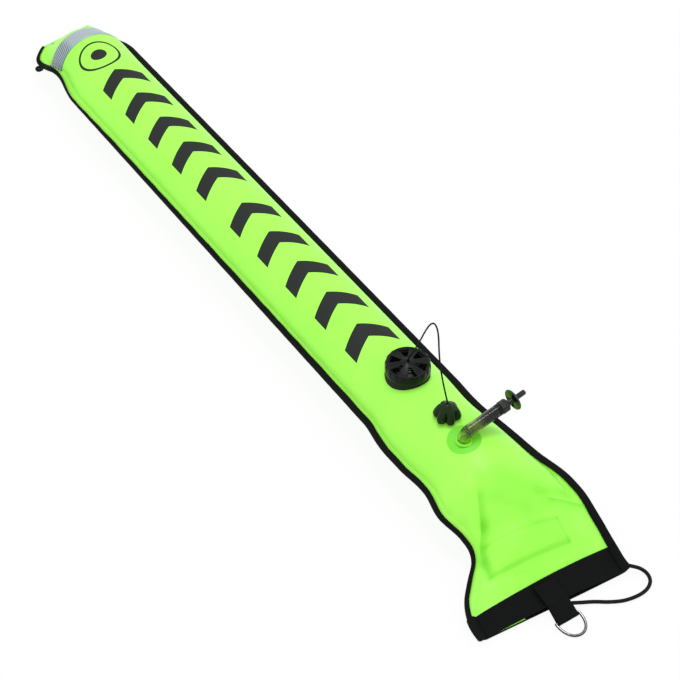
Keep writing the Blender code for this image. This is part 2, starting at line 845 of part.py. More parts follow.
def window_cutter(name, place, count, inner, outer, angle, bottom, top, start=0.0):
    """Wedge-shaped windows round Z, as one cutter of separate bodies."""
    bm = bmesh.new()
    for k in range(count):
        middle = start + 2 * math.pi * k / count
        outline = []
        for m in range(WINDOW_STEPS + 1):
            a = middle + angle * (m / WINDOW_STEPS - 0.5)
            outline.append((outer * math.cos(a), outer * math.sin(a)))
        inner_angle = min(angle, 2 * math.pi / count - SPOKE / inner)
        for a in (middle + inner_angle / 2, middle - inner_angle / 2):
            outline.append((inner * math.cos(a), inner * math.sin(a)))
        low = [bm.verts.new((x, y, bottom)) for x, y in outline]
        high = [bm.verts.new((x, y, top)) for x, y in outline]
        bm.faces.new(low[::-1])
        bm.faces.new(high)
        for m in range(len(outline)):
            n = (m + 1) % len(outline)
            bm.faces.new((low[m], low[n], high[n], high[m]))
    mesh = bpy.data.meshes.new(name)
    bmesh.ops.recalc_face_normals(bm, faces=bm.faces)
    bm.to_mesh(mesh)
    bm.free()
    cutter = add_object(name, mesh, cutter=True)
    cutter.matrix_world = place
    return cutter


def build_dump_valve(looks):
    """Boss on the fabric, valve body, sprung poppet with its seal, gasket and windowed cap."""
    base = Matrix.Translation((0, 0, RIDGE))
    reach = WELD_RING + WELD_SPAN

    boss_profile = ring_profile(BOSS_INNER, BOSS_OUTER, -BOSS_DEPTH, BOSS_HEIGHT)
    boss = turned("valve_boss", boss_profile, looks["rubber"], base)
    boolean(boss, panel_slab("under_boss", -BOSS_DEPTH - CUT_REACH, SKIN + GAP, -reach, reach))
    weld_profile = ring_profile(THROAT_OUTER + GAP, WELD_RING, -WELD_DEPTH, BOSS_HEIGHT)
    weld = turned("valve_weld_ring", weld_profile, looks["tpu"], base)
    boolean(weld, panel_slab("valve_weld_layer", -GAP - WELD_THICK, -GAP, -reach, reach), "INTERSECT")

    floor = BOSS_HEIGHT + GAP
    floor_top = floor + FLANGE
    grille_bottom = -THROAT_DEPTH
    grille_top = grille_bottom + GRILLE
    seat_radius = THROAT_BORE + SEAT_WIDTH
    body_profile = [
        (0, grille_top),
        (THROAT_BORE, grille_top),
        (THROAT_BORE, SEAT_TOP),
        (seat_radius, SEAT_TOP),
        (seat_radius + SEAT_SLOPE, floor_top),
        (WALL_INNER, floor_top),
        (WALL_INNER, WALL_TOP),
        (WALL_OUTER, WALL_TOP),
        (WALL_OUTER, floor),
        (THROAT_OUTER, floor),
        (THROAT_OUTER, grille_bottom),
        (0, grille_bottom),
    ]
    body = turned("valve_body", body_profile, looks["plastic"], base)
    low, high = grille_bottom - GRILLE, grille_top + GRILLE
    rim = THROAT_BORE - GRILLE_RIM
    grille = window_cutter("grille_windows", base, GRILLE_WINDOWS, GRILLE_HUB, rim, GRILLE_ANGLE, low, high)
    boolean(body, grille)

    roof_step = CAP_OUTER - CAP_RIM_WIDTH
    roof_under = CAP_RIM - CAP_ROOF
    ledge = roof_under - CAP_LEDGE
    cord_way = CORD_RADIUS + CAP_CORD_CLEAR
    cap_profile = [
        (cord_way, CAP_HUB),
        (CAP_HUB_RADIUS, CAP_HUB),
        (roof_step - CAP_DISH_WIDTH, CAP_RIM - CAP_DISH),
        (roof_step, CAP_RIM),
        (CAP_OUTER - CAP_ROUND, CAP_RIM - GAP),
        (CAP_OUTER, CAP_RIM - CAP_ROUND_DROP),
        (CAP_OUTER, BOSS_HEIGHT + GAP),
        (CAP_INNER, BOSS_HEIGHT + GAP),
        (CAP_INNER, ledge),
        (WALL_OUTER, ledge),
        (WALL_INNER - GRILLE_RIM, ledge + CAP_DISH),
        (WINDOW_INNER, CAP_HUB - CAP_ROOF),
        (cord_way, CAP_HUB - CAP_ROOF),
    ]
    cap = turned("valve_cap", cap_profile, looks["plastic"], base)
    low, high = WALL_TOP, CAP_HUB + CAP_ROOF
    windows = window_cutter(
        "cap_windows", base, CAP_WINDOWS, WINDOW_INNER, WINDOW_OUTER, WINDOW_ANGLE, low, high, WINDOW_START
    )
    boolean(cap, windows)

    gasket_top = ledge - GAP
    gasket_bottom = max(gasket_top - GASKET_HEIGHT, WALL_TOP + GAP)
    gasket = ring_profile(WALL_INNER + GASKET_INSET, WALL_OUTER - GASKET_INSET, gasket_bottom, gasket_top)
    turned("cap_gasket", gasket, looks["rubber"], base)

    seal_bottom = SEAT_TOP + GAP
    seal_top = seal_bottom + SEAL_THICK
    seal = ring_profile(STEM_RADIUS + GAP, SEAL_RADIUS, seal_bottom, seal_top)
    turned("poppet_seal", seal, looks["silicone"], base)
    plate_bottom = seal_top + GAP
    plate_top = plate_bottom + POPPET_PLATE
    plate_radius = SEAL_RADIUS + POPPET_RIM
    stem_bottom = seal_bottom - STEM_DEPTH
    cord_hole = CORD_RADIUS + GAP
    poppet_profile = [
        (cord_hole, plate_top + POPPET_BOSS_HEIGHT),
        (POPPET_BOSS, plate_top + POPPET_BOSS_HEIGHT),
        (POPPET_BOSS, plate_top),
        (plate_radius, plate_top),
        (plate_radius, plate_bottom),
        (STEM_RADIUS, plate_bottom),
        (STEM_RADIUS, stem_bottom),
        (cord_hole, stem_bottom),
    ]
    turned("poppet", poppet_profile, looks["plastic"], base)

    spring_top = CAP_HUB - CAP_ROOF - GAP - SPRING_WIRE
    wire = coil(SPRING_BOTTOM, SPRING_TOP, plate_top + GAP + SPRING_WIRE, spring_top, SPRING_TURNS)
    tube("poppet_spring", wire, SPRING_WIRE, looks["steel"], base, resolution=1)
    print(f"poppet_spring least gap {least_gap(wire, SPRING_WIRE, SPRING_POINTS) / MM:.2f} mm")

    knot_top = stem_bottom - GAP
    build_pull_cord(looks, base, knot_top)


def build_pull_cord(looks, base, knot_top):
    """The cord, from its stopper knot up through the poppet and the cap and over to the knob."""
    mesh = bpy.data.meshes.new("cord_knot")
    bm = bmesh.new()
    bmesh.ops.create_uvsphere(bm, u_segments=12, v_segments=8, radius=KNOT_RADIUS)
    bm.to_mesh(mesh)
    bm.free()
    knot = add_object("cord_knot", mesh, looks["cord"])
    knot.location = (0, 0, RIDGE + knot_top - KNOT_RADIUS)

    knob_foot = front_height(KNOB_PLACE.x, KNOB_PLACE.y) + 2 * GAP
    knob_top = knob_foot + KNOB_HEIGHT
    route = [Vector((0, 0, RIDGE + knot_top + GAP))]
    route += [Vector((x * MM, y * MM, RIDGE + z * MM)) for x, y, z in CORD_POINTS]
    route.append(Vector((KNOB_PLACE.x, KNOB_PLACE.y, knob_top + GAP)))
    cord = tube("pull_cord", smooth_path(route, 6 * CORD_RADIUS), CORD_RADIUS, looks["cord"])
    knob = build_knob(looks["plastic"], knob_foot, knob_top)
    axis = add_axis("dump_pull_axis", base)
    for piece in (cord, knob):
        piece.parent = axis
        piece.matrix_parent_inverse = base.inverted()


def build_knob(look, foot, top):
    """Domed knob, hollow below, with slots that leave six fingers."""
    height = top - foot
    shoulder = height - KNOB_DOME
    outer = [(KNOB_TOP, height), (KNOB_CROWN, height - KNOB_TOP_DROP)]
    for k in range(1, KNOB_DOME_STEPS + 1):
        angle = math.radians(90 - 90 * k / KNOB_DOME_STEPS)
        radius = KNOB_CROWN + (KNOB_RADIUS - KNOB_CROWN) * math.cos(angle)
        outer.append((radius, shoulder + KNOB_DOME * math.sin(angle)))
    outer.append((KNOB_RADIUS - KNOB_FLARE / 2, KNOB_FLARE))
    outer.append((KNOB_RADIUS - KNOB_FLARE, 0))
    hollow = KNOB_RADIUS - KNOB_WALL - KNOB_FLARE
    inner = [(hollow, 0), (hollow + KNOB_FLARE / 2, shoulder), (KNOB_TOP, height - KNOB_WALL)]
    profile = [(0, height)] + outer + inner + [(0, height - KNOB_WALL)]
    place = Matrix.Translation((KNOB_PLACE.x, KNOB_PLACE.y, foot))
    knob = turned("pull_knob", profile, look, place, steps=5 * KNOB_LOBES)
    for k in range(KNOB_LOBES):
        angle = 2 * math.pi * (k + 0.5) / KNOB_LOBES
        slot = cylinder(f"knob_slot_{k}", KNOB_SLOT, KNOB_SLOT_INNER, KNOB_RADIUS + KNOB_FLARE, segments=12)
        turn = Matrix.Rotation(angle, 4, "Z") @ Matrix.Rotation(math.radians(90), 4, "Y")
        shape = Matrix.Diagonal((KNOB_SLOT_TALL, 1, 1, 1))
        slot.matrix_world = place @ Matrix.Translation((0, 0, KNOB_FLARE / 2)) @ turn @ shape
        boolean(knob, slot)
    return knob


def elbow_frame():
    """The arm's start at the bend, and a matrix that sets local +Z along the arm."""
    foot = front_height(ELBOW_PLACE.x, ELBOW_PLACE.y)
    bend = Vector((ELBOW_PLACE.x, ELBOW_PLACE.y, foot + ELBOW_RISE))
    level = Vector((math.cos(ELBOW_TURN), math.sin(ELBOW_TURN), 0))
    arm = level * math.cos(ELBOW_TILT) + Vector((0, 0, math.sin(ELBOW_TILT)))
    turn = arm.to_track_quat("Z", "Y").to_matrix().to_4x4()
    return foot, bend, arm, Matrix.Translation(bend) @ turn


def build_inflator(looks):
    """Clear elbow welded to the front face, and the push valve in the end of its arm."""
    foot, bend, arm, place = elbow_frame()
    up = Vector((0, 0, 1))
    path = [bend - up * (ELBOW_RISE + ELBOW_DEPTH), bend - up * (ELBOW_BEND + GAP)]
    for k in range(ELBOW_BEND_STEPS + 1):
        t = k / ELBOW_BEND_STEPS
        path.append(bend - up * ELBOW_BEND * (1 - t) ** 2 + arm * ELBOW_BEND * t**2)
    path.append(bend + arm * ELBOW_ARM)
    elbow = as_mesh(tube("elbow_tube", path, ELBOW_RADIUS, looks["smoke"], resolution=4))
    longer = [path[0] - up * MM] + path[1:-1] + [path[-1] + arm * MM]
    boolean(elbow, as_mesh(tube("elbow_bore", longer, ELBOW_BORE, resolution=4, cutter=True)))

    ring = ring_profile(ELBOW_RADIUS + GAP, ELBOW_WELD, -WELD_DEPTH, ELBOW_DEPTH)
    weld_place = Matrix.Translation((ELBOW_PLACE.x, ELBOW_PLACE.y, foot))
    weld = turned("elbow_weld_ring", ring, looks["tpu"], weld_place)
    span = ELBOW_WELD + WELD_SPAN
    low, high = ELBOW_PLACE.y - span, ELBOW_PLACE.y + span
    boolean(weld, panel_slab("elbow_weld_layer", -GAP - WELD_THICK, -GAP, low, high), "INTERSECT")

    insert_start = ELBOW_ARM - INSERT_LENGTH
    shoulder_start = ELBOW_ARM + GAP
    shoulder_end = shoulder_start + SHOULDER_LENGTH
    barrel_end = shoulder_end + BARREL_LENGTH
    spring_start = insert_start + INSERT_FLOOR
    groove = barrel_end - GROOVE_SETBACK
    groove_end = groove + GROOVE_WIDTH
    body_profile = [
        (NECK_RADIUS + GAP, barrel_end),
        (BARREL_RADIUS, barrel_end),
        (BARREL_RADIUS, shoulder_end),
        (ELBOW_RADIUS, shoulder_end),
        (ELBOW_RADIUS, shoulder_start),
        (INSERT_RADIUS, shoulder_start),
        (INSERT_RADIUS, insert_start),
        (SHAFT_RADIUS + GAP, insert_start),
        (SHAFT_RADIUS + GAP, spring_start),
        (BODY_BORE, spring_start),
        (BODY_BORE, groove),
        (BODY_BORE + GROOVE_DEPTH, groove),
        (BODY_BORE + GROOVE_DEPTH, groove_end),
        (NECK_RADIUS + GAP, groove_end),
    ]
    turned("inflator_body", body_profile, looks["plastic"], place, steps=24)
    seal_outer = BODY_BORE + GROOVE_DEPTH - GAP
    neck_seal = ring_profile(NECK_RADIUS + NECK_SEAL_SQUEEZE, seal_outer, groove + GAP, groove_end - GAP)
    turned("neck_seal", neck_seal, looks["rubber"], place, steps=24)
    build_lock_collar(looks["plastic"], place, shoulder_end + GAP)

    step_start = groove - STEP_SETBACK
    neck_end = barrel_end + NECK_LENGTH
    disc_end = neck_end + DISC_THICK
    tip = disc_end + NOZZLE_LENGTH
    seal_end = insert_start - GAP
    seal_start = seal_end - VALVE_SEAL
    head_end = seal_start - GAP
    plunger_profile = [
        (NOZZLE_BORE, tip),
        (NOZZLE_RADIUS - NOZZLE_ROUND / 2, tip),
        (NOZZLE_RADIUS, tip - NOZZLE_ROUND),
        (NOZZLE_RADIUS, disc_end + NOZZLE_FOOT),
        (NOZZLE_RADIUS + NOZZLE_FOOT, disc_end),
        (DISC_RADIUS - DISC_ROUND, disc_end),
        (DISC_RADIUS, (neck_end + disc_end) / 2),
        (DISC_RADIUS - DISC_ROUND, neck_end),
        (NECK_RADIUS, neck_end),
        (NECK_RADIUS, step_start),
        (SHAFT_RADIUS, step_start),
        (SHAFT_RADIUS, head_end),
        (SHAFT_RADIUS + HEAD_RIM, head_end),
        (SHAFT_RADIUS + HEAD_RIM, head_end - HEAD_THICK),
        (0, head_end - HEAD_THICK),
    ]
    bore_end = step_start + BORE_SETBACK
    profile = plunger_profile + [(0, bore_end), (NOZZLE_BORE, bore_end)]
    plunger = turned("inflator_plunger", profile, looks["plastic"], place, steps=24)
    port = cylinder("plunger_port", PORT_RADIUS, -PORT_REACH, PORT_REACH, segments=16)
    side = Matrix.Translation((0, 0, bore_end + PORT_RISE)) @ Matrix.Rotation(math.radians(90), 4, "X")
    port.matrix_world = place @ side
    boolean(plunger, port)
    seal = ring_profile(SHAFT_RADIUS + GAP, BODY_BORE + GROOVE_DEPTH, seal_start, seal_end)
    turned("inflator_seal", seal, looks["silicone"], place, steps=24)
    middle = (SHAFT_RADIUS + BODY_BORE) / 2
    wire = coil(middle, middle, spring_start + GAP + PUSH_WIRE, step_start - GAP - PUSH_WIRE, PUSH_TURNS)
    tube("inflator_spring", wire, PUSH_WIRE, looks["steel"], place, resolution=1)
    print(f"inflator_spring least gap {least_gap(wire, PUSH_WIRE, SPRING_POINTS) / MM:.2f} mm")


def build_lock_collar(look, place, start):
    """Ring with flutes round it, that turns on the valve's barrel."""
    profile = [
        (BARREL_RADIUS + GAP, start + COLLAR_LENGTH),
        (COLLAR_RADIUS - COLLAR_ROUND, start + COLLAR_LENGTH),
        (COLLAR_RADIUS, start + COLLAR_LENGTH - COLLAR_ROUND),
        (COLLAR_RADIUS, start + COLLAR_ROUND),
        (COLLAR_RADIUS - COLLAR_ROUND, start),
        (BARREL_RADIUS + GAP, start),
    ]
    collar = turned("lock_collar", profile, look, place, steps=32)
    bm = bmesh.new()
    for k in range(COLLAR_FLUTES):
        angle = 2 * math.pi * k / COLLAR_FLUTES
        middle = Matrix.Translation((COLLAR_RADIUS + FLUTE_OUT, 0, start + COLLAR_LENGTH / 2))
        bmesh.ops.create_cone(
            bm,
            cap_ends=True,
            segments=6,
            radius1=FLUTE_RADIUS,
            radius2=FLUTE_RADIUS,
            depth=FLUTE_LENGTH,
            matrix=Matrix.Rotation(angle, 4, "Z") @ middle,
        )
    mesh = bpy.data.meshes.new("collar_flutes")
    bm.to_mesh(mesh)
    bm.free()
    flutes = add_object("collar_flutes", mesh, cutter=True)
    flutes.matrix_world = place
    boolean(collar, flutes)


def build_mouth_fittings(looks):
    """Webbing tab with its D ring, and the elastic loop at the corner of the mouth."""
    bar_height = RING_WIRE + GAP + WEBBING
    lip = front_height(TAB_X, MOUTH_Y + WEBBING) + GAP + WEBBING
    start_y = MOUTH_Y + TAB_START
    start_z = front_height(TAB_X, start_y) + GAP + WEBBING
    lift = 2 * GAP + WEBBING / 2
    lower = [(start_y, start_z + lift), (MOUTH_Y - 2 * GAP - WEBBING, lip + lift)]
    turn_radius = RING_WIRE + GAP + WEBBING / 2
    around = []
    for k in range(TAB_TURN_STEPS + 1):
        angle = TAB_TURN_START - TAB_TURN * k / TAB_TURN_STEPS
        y, z = turn_radius * math.cos(angle), turn_radius * math.sin(angle)
        around.append((RING_BAR_Y + y, bar_height + z))
    spacing = WEBBING + GAP
    upper = [(y, z + spacing) for y, z in lower[::-1]]
    route = lower + around + upper
    sections = []
    for k, (y, z) in enumerate(route):
        before = route[max(k - 1, 0)]
        after = route[min(k + 1, len(route) - 1)]
        run = Vector((0, after[0] - before[0], after[1] - before[1])).normalized()
        side = Vector((0, -run.z, run.y)) * WEBBING / 2
        middle = Vector((TAB_X, y, z))
        half = Vector((TAB_WIDTH / 2, 0, 0))
        corners = (-half - side, half - side, half + side, side - half)
        sections.append([middle + corner for corner in corners])
    loft("d_ring_tab", sections, looks["webbing"])

    half = RING_INNER / 2 + RING_WIRE
    drop = bar_height - RING_WIRE
    bar_steps = RING_STEPS // 2
    ring_path = [Vector((half * (2 * k / bar_steps - 1), 0, 0)) for k in range(bar_steps + 1)]
    for k in range(1, RING_STEPS):
        angle = math.pi * k / RING_STEPS
        depth = RING_DEPTH * math.sin(angle) ** RING_SQUARENESS
        ring_path.append(Vector((half * math.cos(angle), -depth, -drop * depth / RING_DEPTH)))
    place = Matrix.Translation((TAB_X, RING_BAR_Y, bar_height))
    tube("d_ring", ring_path, RING_WIRE, looks["steel"], place, cyclic=True)

    tab_side = Vector((TAB_X + TAB_WIDTH / 2 + BUNGEE_SEAT, 0, 0))
    corner = RIGHT[0].point + Vector((BUNGEE_RADIUS, -BUNGEE_RADIUS / 2, 0))
    bungee = [Vector((x * MM, y * MM, z * MM)) for x, y, z in BUNGEE_POINTS]
    bungee = [BUNGEE_START + tab_side, *bungee, corner]
    tube("bungee_loop", smooth_path(bungee, 2.5 * BUNGEE_RADIUS), BUNGEE_RADIUS, looks["cord"])


def build_corner_loop(look):
    """Small cord loop sewn to the left seam near the top."""
    edge = min(LEFT, key=lambda e: abs(e.point.y - LOOP_Y))
    start = -TAPE - LOOP_CLEAR
    path = []
    for k in range(LOOP_STEPS + 1):
        angle = math.pi * k / LOOP_STEPS
        out = LOOP_REACH * math.sin(angle) + LOOP_CORD
        path.append(edge.at(start, 0) - Vector((out, LOOP_RADIUS * math.cos(angle), 0)))
    path.insert(0, path[0] + Vector((LOOP_CORD, 0, 0)))
    path.append(path[-1] + Vector((LOOP_CORD, 0, 0)))
    tube("corner_loop", path, LOOP_CORD, look)


def box(name, size, place, look=None, cutter=False):
    mesh = bpy.data.meshes.new(name)
    bm = bmesh.new()
    bmesh.ops.create_cube(bm, size=1.0, matrix=Matrix.Diagonal((*size, 1.0)))
    bm.to_mesh(mesh)
    bm.free()
    obj = add_object(name, mesh, look, cutter)
    obj.matrix_world = place
    return obj


def pocket_place(length, width, thick):
    """The frame of the pocket's middle: as high and as sloped as the front panel over it allows."""
    x, y = PLATE_PLACE.x, PLATE_PLACE.y
    ends = [front_height(x + sx * length / 2, y + sy * width / 2) for sx in (-1, 1) for sy in (-1, 1)]
    slope_y = (ends[1] + ends[3] - ends[0] - ends[2]) / (2 * width)
    slope_x = (ends[2] + ends[3] - ends[0] - ends[1]) / (2 * length)
    normal = Vector((-slope_x, -slope_y, 1)).normalized()
    along = Vector((1, 0, slope_x)).normalized()
    shares = (-0.5, -0.25, 0, 0.25, 0.5)
    spots = [(sx * length, sy * width) for sx in shares for sy in shares]
    room = [front_height(x + dx, y + dy) - slope_x * dx - slope_y * dy for dx, dy in spots]
    top = min(room) - SKIN - POCKET_CLEAR
    centre = Vector((x, y, top)) - normal * thick / 2
    turn = Matrix((along, normal.cross(along), normal)).transposed().to_4x4()
    return Matrix.Translation(centre) @ turn


def build_ballast(looks):
    """Flat weight in a sealed pocket under the front panel of the tail."""
    width = PLATE_WIDTH + 2 * POCKET_MARGIN
    length = PLATE_LENGTH + 2 * POCKET_MARGIN
    thick = PLATE_THICK + 2 * (POCKET_WALL + GAP)
    place = pocket_place(length, width, thick)
    pocket = box("ballast_pocket", (length, width, thick), place, looks["fabric"])
    plate_size = (PLATE_LENGTH, PLATE_WIDTH, PLATE_THICK)
    boolean(pocket, box("pocket_hollow", [size + 2 * GAP for size in plate_size], place, cutter=True))
    slit_place = place @ Matrix.Translation((length / 2, 0, 0))
    boolean(pocket, box("pocket_slit", (length, SLIT_WIDTH, SLIT_HEIGHT), slit_place, cutter=True))
    box("ballast_plate", plate_size, place, looks["lead"])


def build_baffle(look):
    """Flattened sleeve inside the mouth: wide at the lip, narrow and pressed shut at its inner end."""
    sections = []
    for share, half_share, opening in BAFFLE_SHAPE:
        y = MOUTH_Y + BAFFLE_START + BAFFLE_LENGTH * share
        i = first_row_from(y - MOUTH_Y)
        middle_x = (LEFT[i].point.x + RIGHT[i].point.x) / 2
        section = []
        for k in range(BAFFLE_SIDES):
            angle = 2 * math.pi * k / BAFFLE_SIDES
            x = middle_x + BAFFLE_HALF_WIDTH * half_share * math.cos(angle)
            low = inner_height(x, y, BACK_VERTS) + BAFFLE_LIFT
            section.append(Vector((x, y, low + opening / 2 * (1 + math.sin(angle)))))
        sections.append(section)
    verts = [p for section in sections for p in section]
    faces = []
    for i in range(len(sections) - 1):
        for j in range(BAFFLE_SIDES):
            a = i * BAFFLE_SIDES + j
            b = i * BAFFLE_SIDES + (j + 1) % BAFFLE_SIDES
            faces.append((a, b, b + BAFFLE_SIDES, a + BAFFLE_SIDES))
    solidify(mesh_object("duckbill_baffle", verts, faces, look), BAFFLE_SHEET, offset=-1.0, even=False)


def make_looks():
    return {
        "fabric": material("fluorescent_fabric", (0.40, 1.0, 0.08), 0.45),
        "tape": material("edge_tape", (0.012, 0.013, 0.013), 0.75),
        "webbing": material("webbing", (0.010, 0.011, 0.011), 0.85),
        "reflective": material("reflective_tape", (0.45, 0.50, 0.62), 0.3, 0.2),
        "plastic": material("black_plastic", (0.012, 0.013, 0.015), 0.3),
        "rubber": material("black_rubber", (0.015, 0.016, 0.017), 0.6),
        "silicone": material("silicone", (0.03, 0.03, 0.03), 0.5),
        "tpu": material("weld_ring_tpu", (0.22, 0.72, 0.05), 0.4),
        "smoke": material("smoked_tube", (0.10, 0.085, 0.035), 0.15, 0.0, 0.6),
        "steel": material("stainless_steel", (0.62, 0.62, 0.60), 0.2, 1.0),
        "lead": material("ballast_lead", (0.20, 0.21, 0.22), 0.5, 1.0),
        "cord": material("black_cord", (0.012, 0.012, 0.012), 0.7),
    }


def main():
    for obj in list(bpy.data.objects):
        bpy.data.objects.remove(obj)
    for name in ("surface_marker_buoy", "cutters"):
        collection = bpy.data.collections.get(name) or bpy.data.collections.new(name)
        if collection.name not in bpy.context.scene.collection.children:
            bpy.context.scene.collection.children.link(collection)
    looks = make_looks()
    build_panels(looks)
    build_edge_tape("left_edge_tape", LEFT, looks["tape"])
    build_edge_tape("right_edge_tape", RIGHT, looks["tape"])
    build_mouth_band("front_mouth_band", 1, looks["webbing"])
    build_mouth_band("back_mouth_band", -1, looks["webbing"])
    build_reflective_band(looks["reflective"])
    build_corner_loop(looks["cord"])
    build_dump_valve(looks)
    build_inflator(looks)
    build_mouth_fittings(looks)
    build_ballast(looks)
    build_baffle(looks["fabric"])


main()
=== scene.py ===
"""Surface marker buoy, dressed: an inflated signal tube lying on its back on a pale table.

Lengths are in metres. +Y runs along the tube to its closed top end, +Z is up.
"""

import math

import bmesh
import bpy
import numpy as np
from mathutils import Matrix, Vector


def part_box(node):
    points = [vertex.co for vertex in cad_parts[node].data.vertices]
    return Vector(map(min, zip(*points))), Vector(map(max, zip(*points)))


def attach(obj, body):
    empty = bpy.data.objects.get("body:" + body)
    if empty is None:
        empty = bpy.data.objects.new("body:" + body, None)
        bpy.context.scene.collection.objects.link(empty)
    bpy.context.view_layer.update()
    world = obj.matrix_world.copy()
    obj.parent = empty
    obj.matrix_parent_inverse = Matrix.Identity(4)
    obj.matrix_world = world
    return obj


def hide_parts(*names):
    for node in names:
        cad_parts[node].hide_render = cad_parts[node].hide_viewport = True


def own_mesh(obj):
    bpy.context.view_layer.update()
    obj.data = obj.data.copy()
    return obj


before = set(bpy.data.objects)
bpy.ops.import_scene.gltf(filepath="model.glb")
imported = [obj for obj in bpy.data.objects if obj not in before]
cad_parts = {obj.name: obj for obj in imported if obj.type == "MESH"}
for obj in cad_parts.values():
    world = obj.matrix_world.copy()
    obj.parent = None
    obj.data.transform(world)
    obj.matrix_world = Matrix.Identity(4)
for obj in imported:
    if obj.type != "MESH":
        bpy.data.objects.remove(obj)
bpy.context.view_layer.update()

# Table, light and camera
# The buoy lies on a pale table under three large soft lamps, seen from the mouth's side and half from
# above. The table is nearly white to the camera and keeps a soft shadow, and the sky is white.
TABLE_SIZE = 14.0
TABLE_DROP = 0.0006
TABLE_SHADE = 0.86
TABLE_WHITENESS = 0.92
VIEW_PLACE = Vector((-0.79528, -1.07230, 1.45893))
VIEW_ALONG = Vector((0.38956, 0.59012, -0.70711))
VIEW_LENS = 94.24
SKY_LEVEL = 0.86
LAMPS = (
    # name, place, aim, size, power
    ("lamp_over", Vector((0.25, 0.45, 2.6)), Vector((0.0, 0.25, 0.0)), 1.1, 20.0),
    ("lamp_right", Vector((1.9, -0.6, 1.3)), Vector((0.0, 0.1, 0.05)), 1.6, 6.0),
    ("lamp_left", Vector((-1.8, 0.9, 1.5)), Vector((0.0, 0.3, 0.05)), 1.8, 4.0),
)

scene = bpy.context.scene
scene.view_settings.view_transform = "Standard"


def add(tree, kind, inputs=None, **settings):
    """A node with its settings and its inputs, each a value or a socket to join."""
    made = tree.nodes.new(kind)
    for key, value in settings.items():
        setattr(made, key, value)
    for key, value in (inputs or {}).items():
        if isinstance(value, bpy.types.NodeSocket):
            tree.links.new(value, made.inputs[key])
        else:
            made.inputs[key].default_value = value
    return made


def sums(tree, operation, *values):
    """A math node's result."""
    return add(tree, "ShaderNodeMath", dict(enumerate(values)), operation=operation).outputs[0]


def finish_of(name, color, roughness, **sockets):
    """A material and its shader, with plain values on the shader's own sockets."""
    made = bpy.data.materials.new(name)
    made.use_nodes = True
    shader = made.node_tree.nodes["Principled BSDF"]
    shader.inputs["Base Color"].default_value = (*color, 1.0)
    shader.inputs["Roughness"].default_value = roughness
    for key, value in sockets.items():
        shader.inputs[key.replace("_", " ")].default_value = value
    return made, made.node_tree, shader


def placed(name, data):
    """An object for a mesh, lamp or camera, in the scene."""
    made = bpy.data.objects.new(name, data)
    scene.collection.objects.link(made)
    return made


def seen_plain(tree):
    """1 where the camera, a reflection or glass sees the table or the sky, 0 where they light the buoy."""
    path = add(tree, "ShaderNodeLightPath").outputs
    direct = sums(tree, "MAXIMUM", path["Is Camera Ray"], path["Is Glossy Ray"])
    return sums(tree, "MAXIMUM", direct, path["Is Transmission Ray"])


table_mesh = bpy.data.meshes.new("table")
half = TABLE_SIZE / 2
corners = [(-half, -half), (half, -half), (half, half), (-half, half)]
table_mesh.from_pydata([(x, y, -TABLE_DROP) for x, y in corners], [], [(0, 1, 2, 3)])
table = placed("table", table_mesh)
table_look, tree, shader = finish_of("table_white", (TABLE_SHADE,) * 3, 0.9, Specular_IOR_Level=0.1)
glow = add(tree, "ShaderNodeEmission", {"Color": (1, 1, 1, 1), "Strength": 1.0})
part_seen = sums(tree, "MULTIPLY", seen_plain(tree), TABLE_WHITENESS)
mixed = add(tree, "ShaderNodeMixShader", {0: part_seen, 1: shader.outputs[0], 2: glow.outputs[0]})
tree.links.new(mixed.outputs[0], tree.nodes["Material Output"].inputs["Surface"])
table_mesh.materials.append(table_look)

sky = bpy.data.worlds.new("studio")
scene.world = sky
sky.use_nodes = True
sky_tree = sky.node_tree
sky_tree.nodes.clear()
level = add(sky_tree, "ShaderNodeMix", {0: seen_plain(sky_tree), 2: SKY_LEVEL, 3: 1.0}, data_type="FLOAT")
back = add(sky_tree, "ShaderNodeBackground", {"Color": (1, 1, 1, 1), "Strength": level.outputs[0]})
add(sky_tree, "ShaderNodeOutputWorld", {"Surface": back.outputs[0]})

for name, place, aim, size, power in LAMPS:
    lamp = bpy.data.lights.new(name, "AREA")
    lamp.shape = "DISK"
    lamp.size = size
    lamp.energy = power
    holder = placed(name, lamp)
    holder.location = place
    holder.rotation_euler = (aim - place).to_track_quat("-Z", "Y").to_euler()

lens = bpy.data.cameras.new("view")
lens.lens = VIEW_LENS
lens.sensor_width = 36.0
lens.sensor_fit = "HORIZONTAL"
camera = placed("view", lens)
camera.location = VIEW_PLACE
camera.rotation_euler = VIEW_ALONG.to_track_quat("-Z", "Y").to_euler()
scene.camera = camera

# Pull cord
# A thin stiff braided cord, knotted under the valve's poppet. It rises through the cap, bends over in a
# high narrow arch and comes down into the knob that stands on the tube.
RIDGE = 0.07695
CORD_RADIUS = 0.0009
CORD_START = Vector((0, 0, RIDGE + 0.0051))
# places in mm, their heights from the ridge
CORD_ROUTE = (
    (0, 0, 17.5), (-0.1, -1.5, 24), (-0.5, -11, 43), (-0.9, -20.5, 65), (-1.3, -30, 88),
    (-1.6, -38, 104), (-1.9, -45, 111), (-2.1, -50, 109), (-2.2, -53.5, 99), (-2.3, -56, 80),
    (-2.5, -60, 60), (-2.8, -67.5, 40),
)
KNOB_SPOT = Vector((-0.003, -0.0765, 0))


def smooth_path(points, spacing):
    """Points about spacing apart along a smooth curve through points."""
    given = [Vector(p) for p in points]
    ends = [2 * given[0] - given[1], *given, 2 * given[-1] - given[-2]]
    found = []
    for a, b, c, d in zip(ends, ends[1:], ends[2:], ends[3:]):
        count = max(1, round((c - b).length / spacing))
        for k in range(count):
            t = k / count
            bend = (2 * a - 5 * b + 4 * c - d) * t**2 + (3 * b - a - 3 * c + d) * t**3
            found.append(0.5 * (2 * b + (c - a) * t + bend))
    found.append(given[-1])
    return found


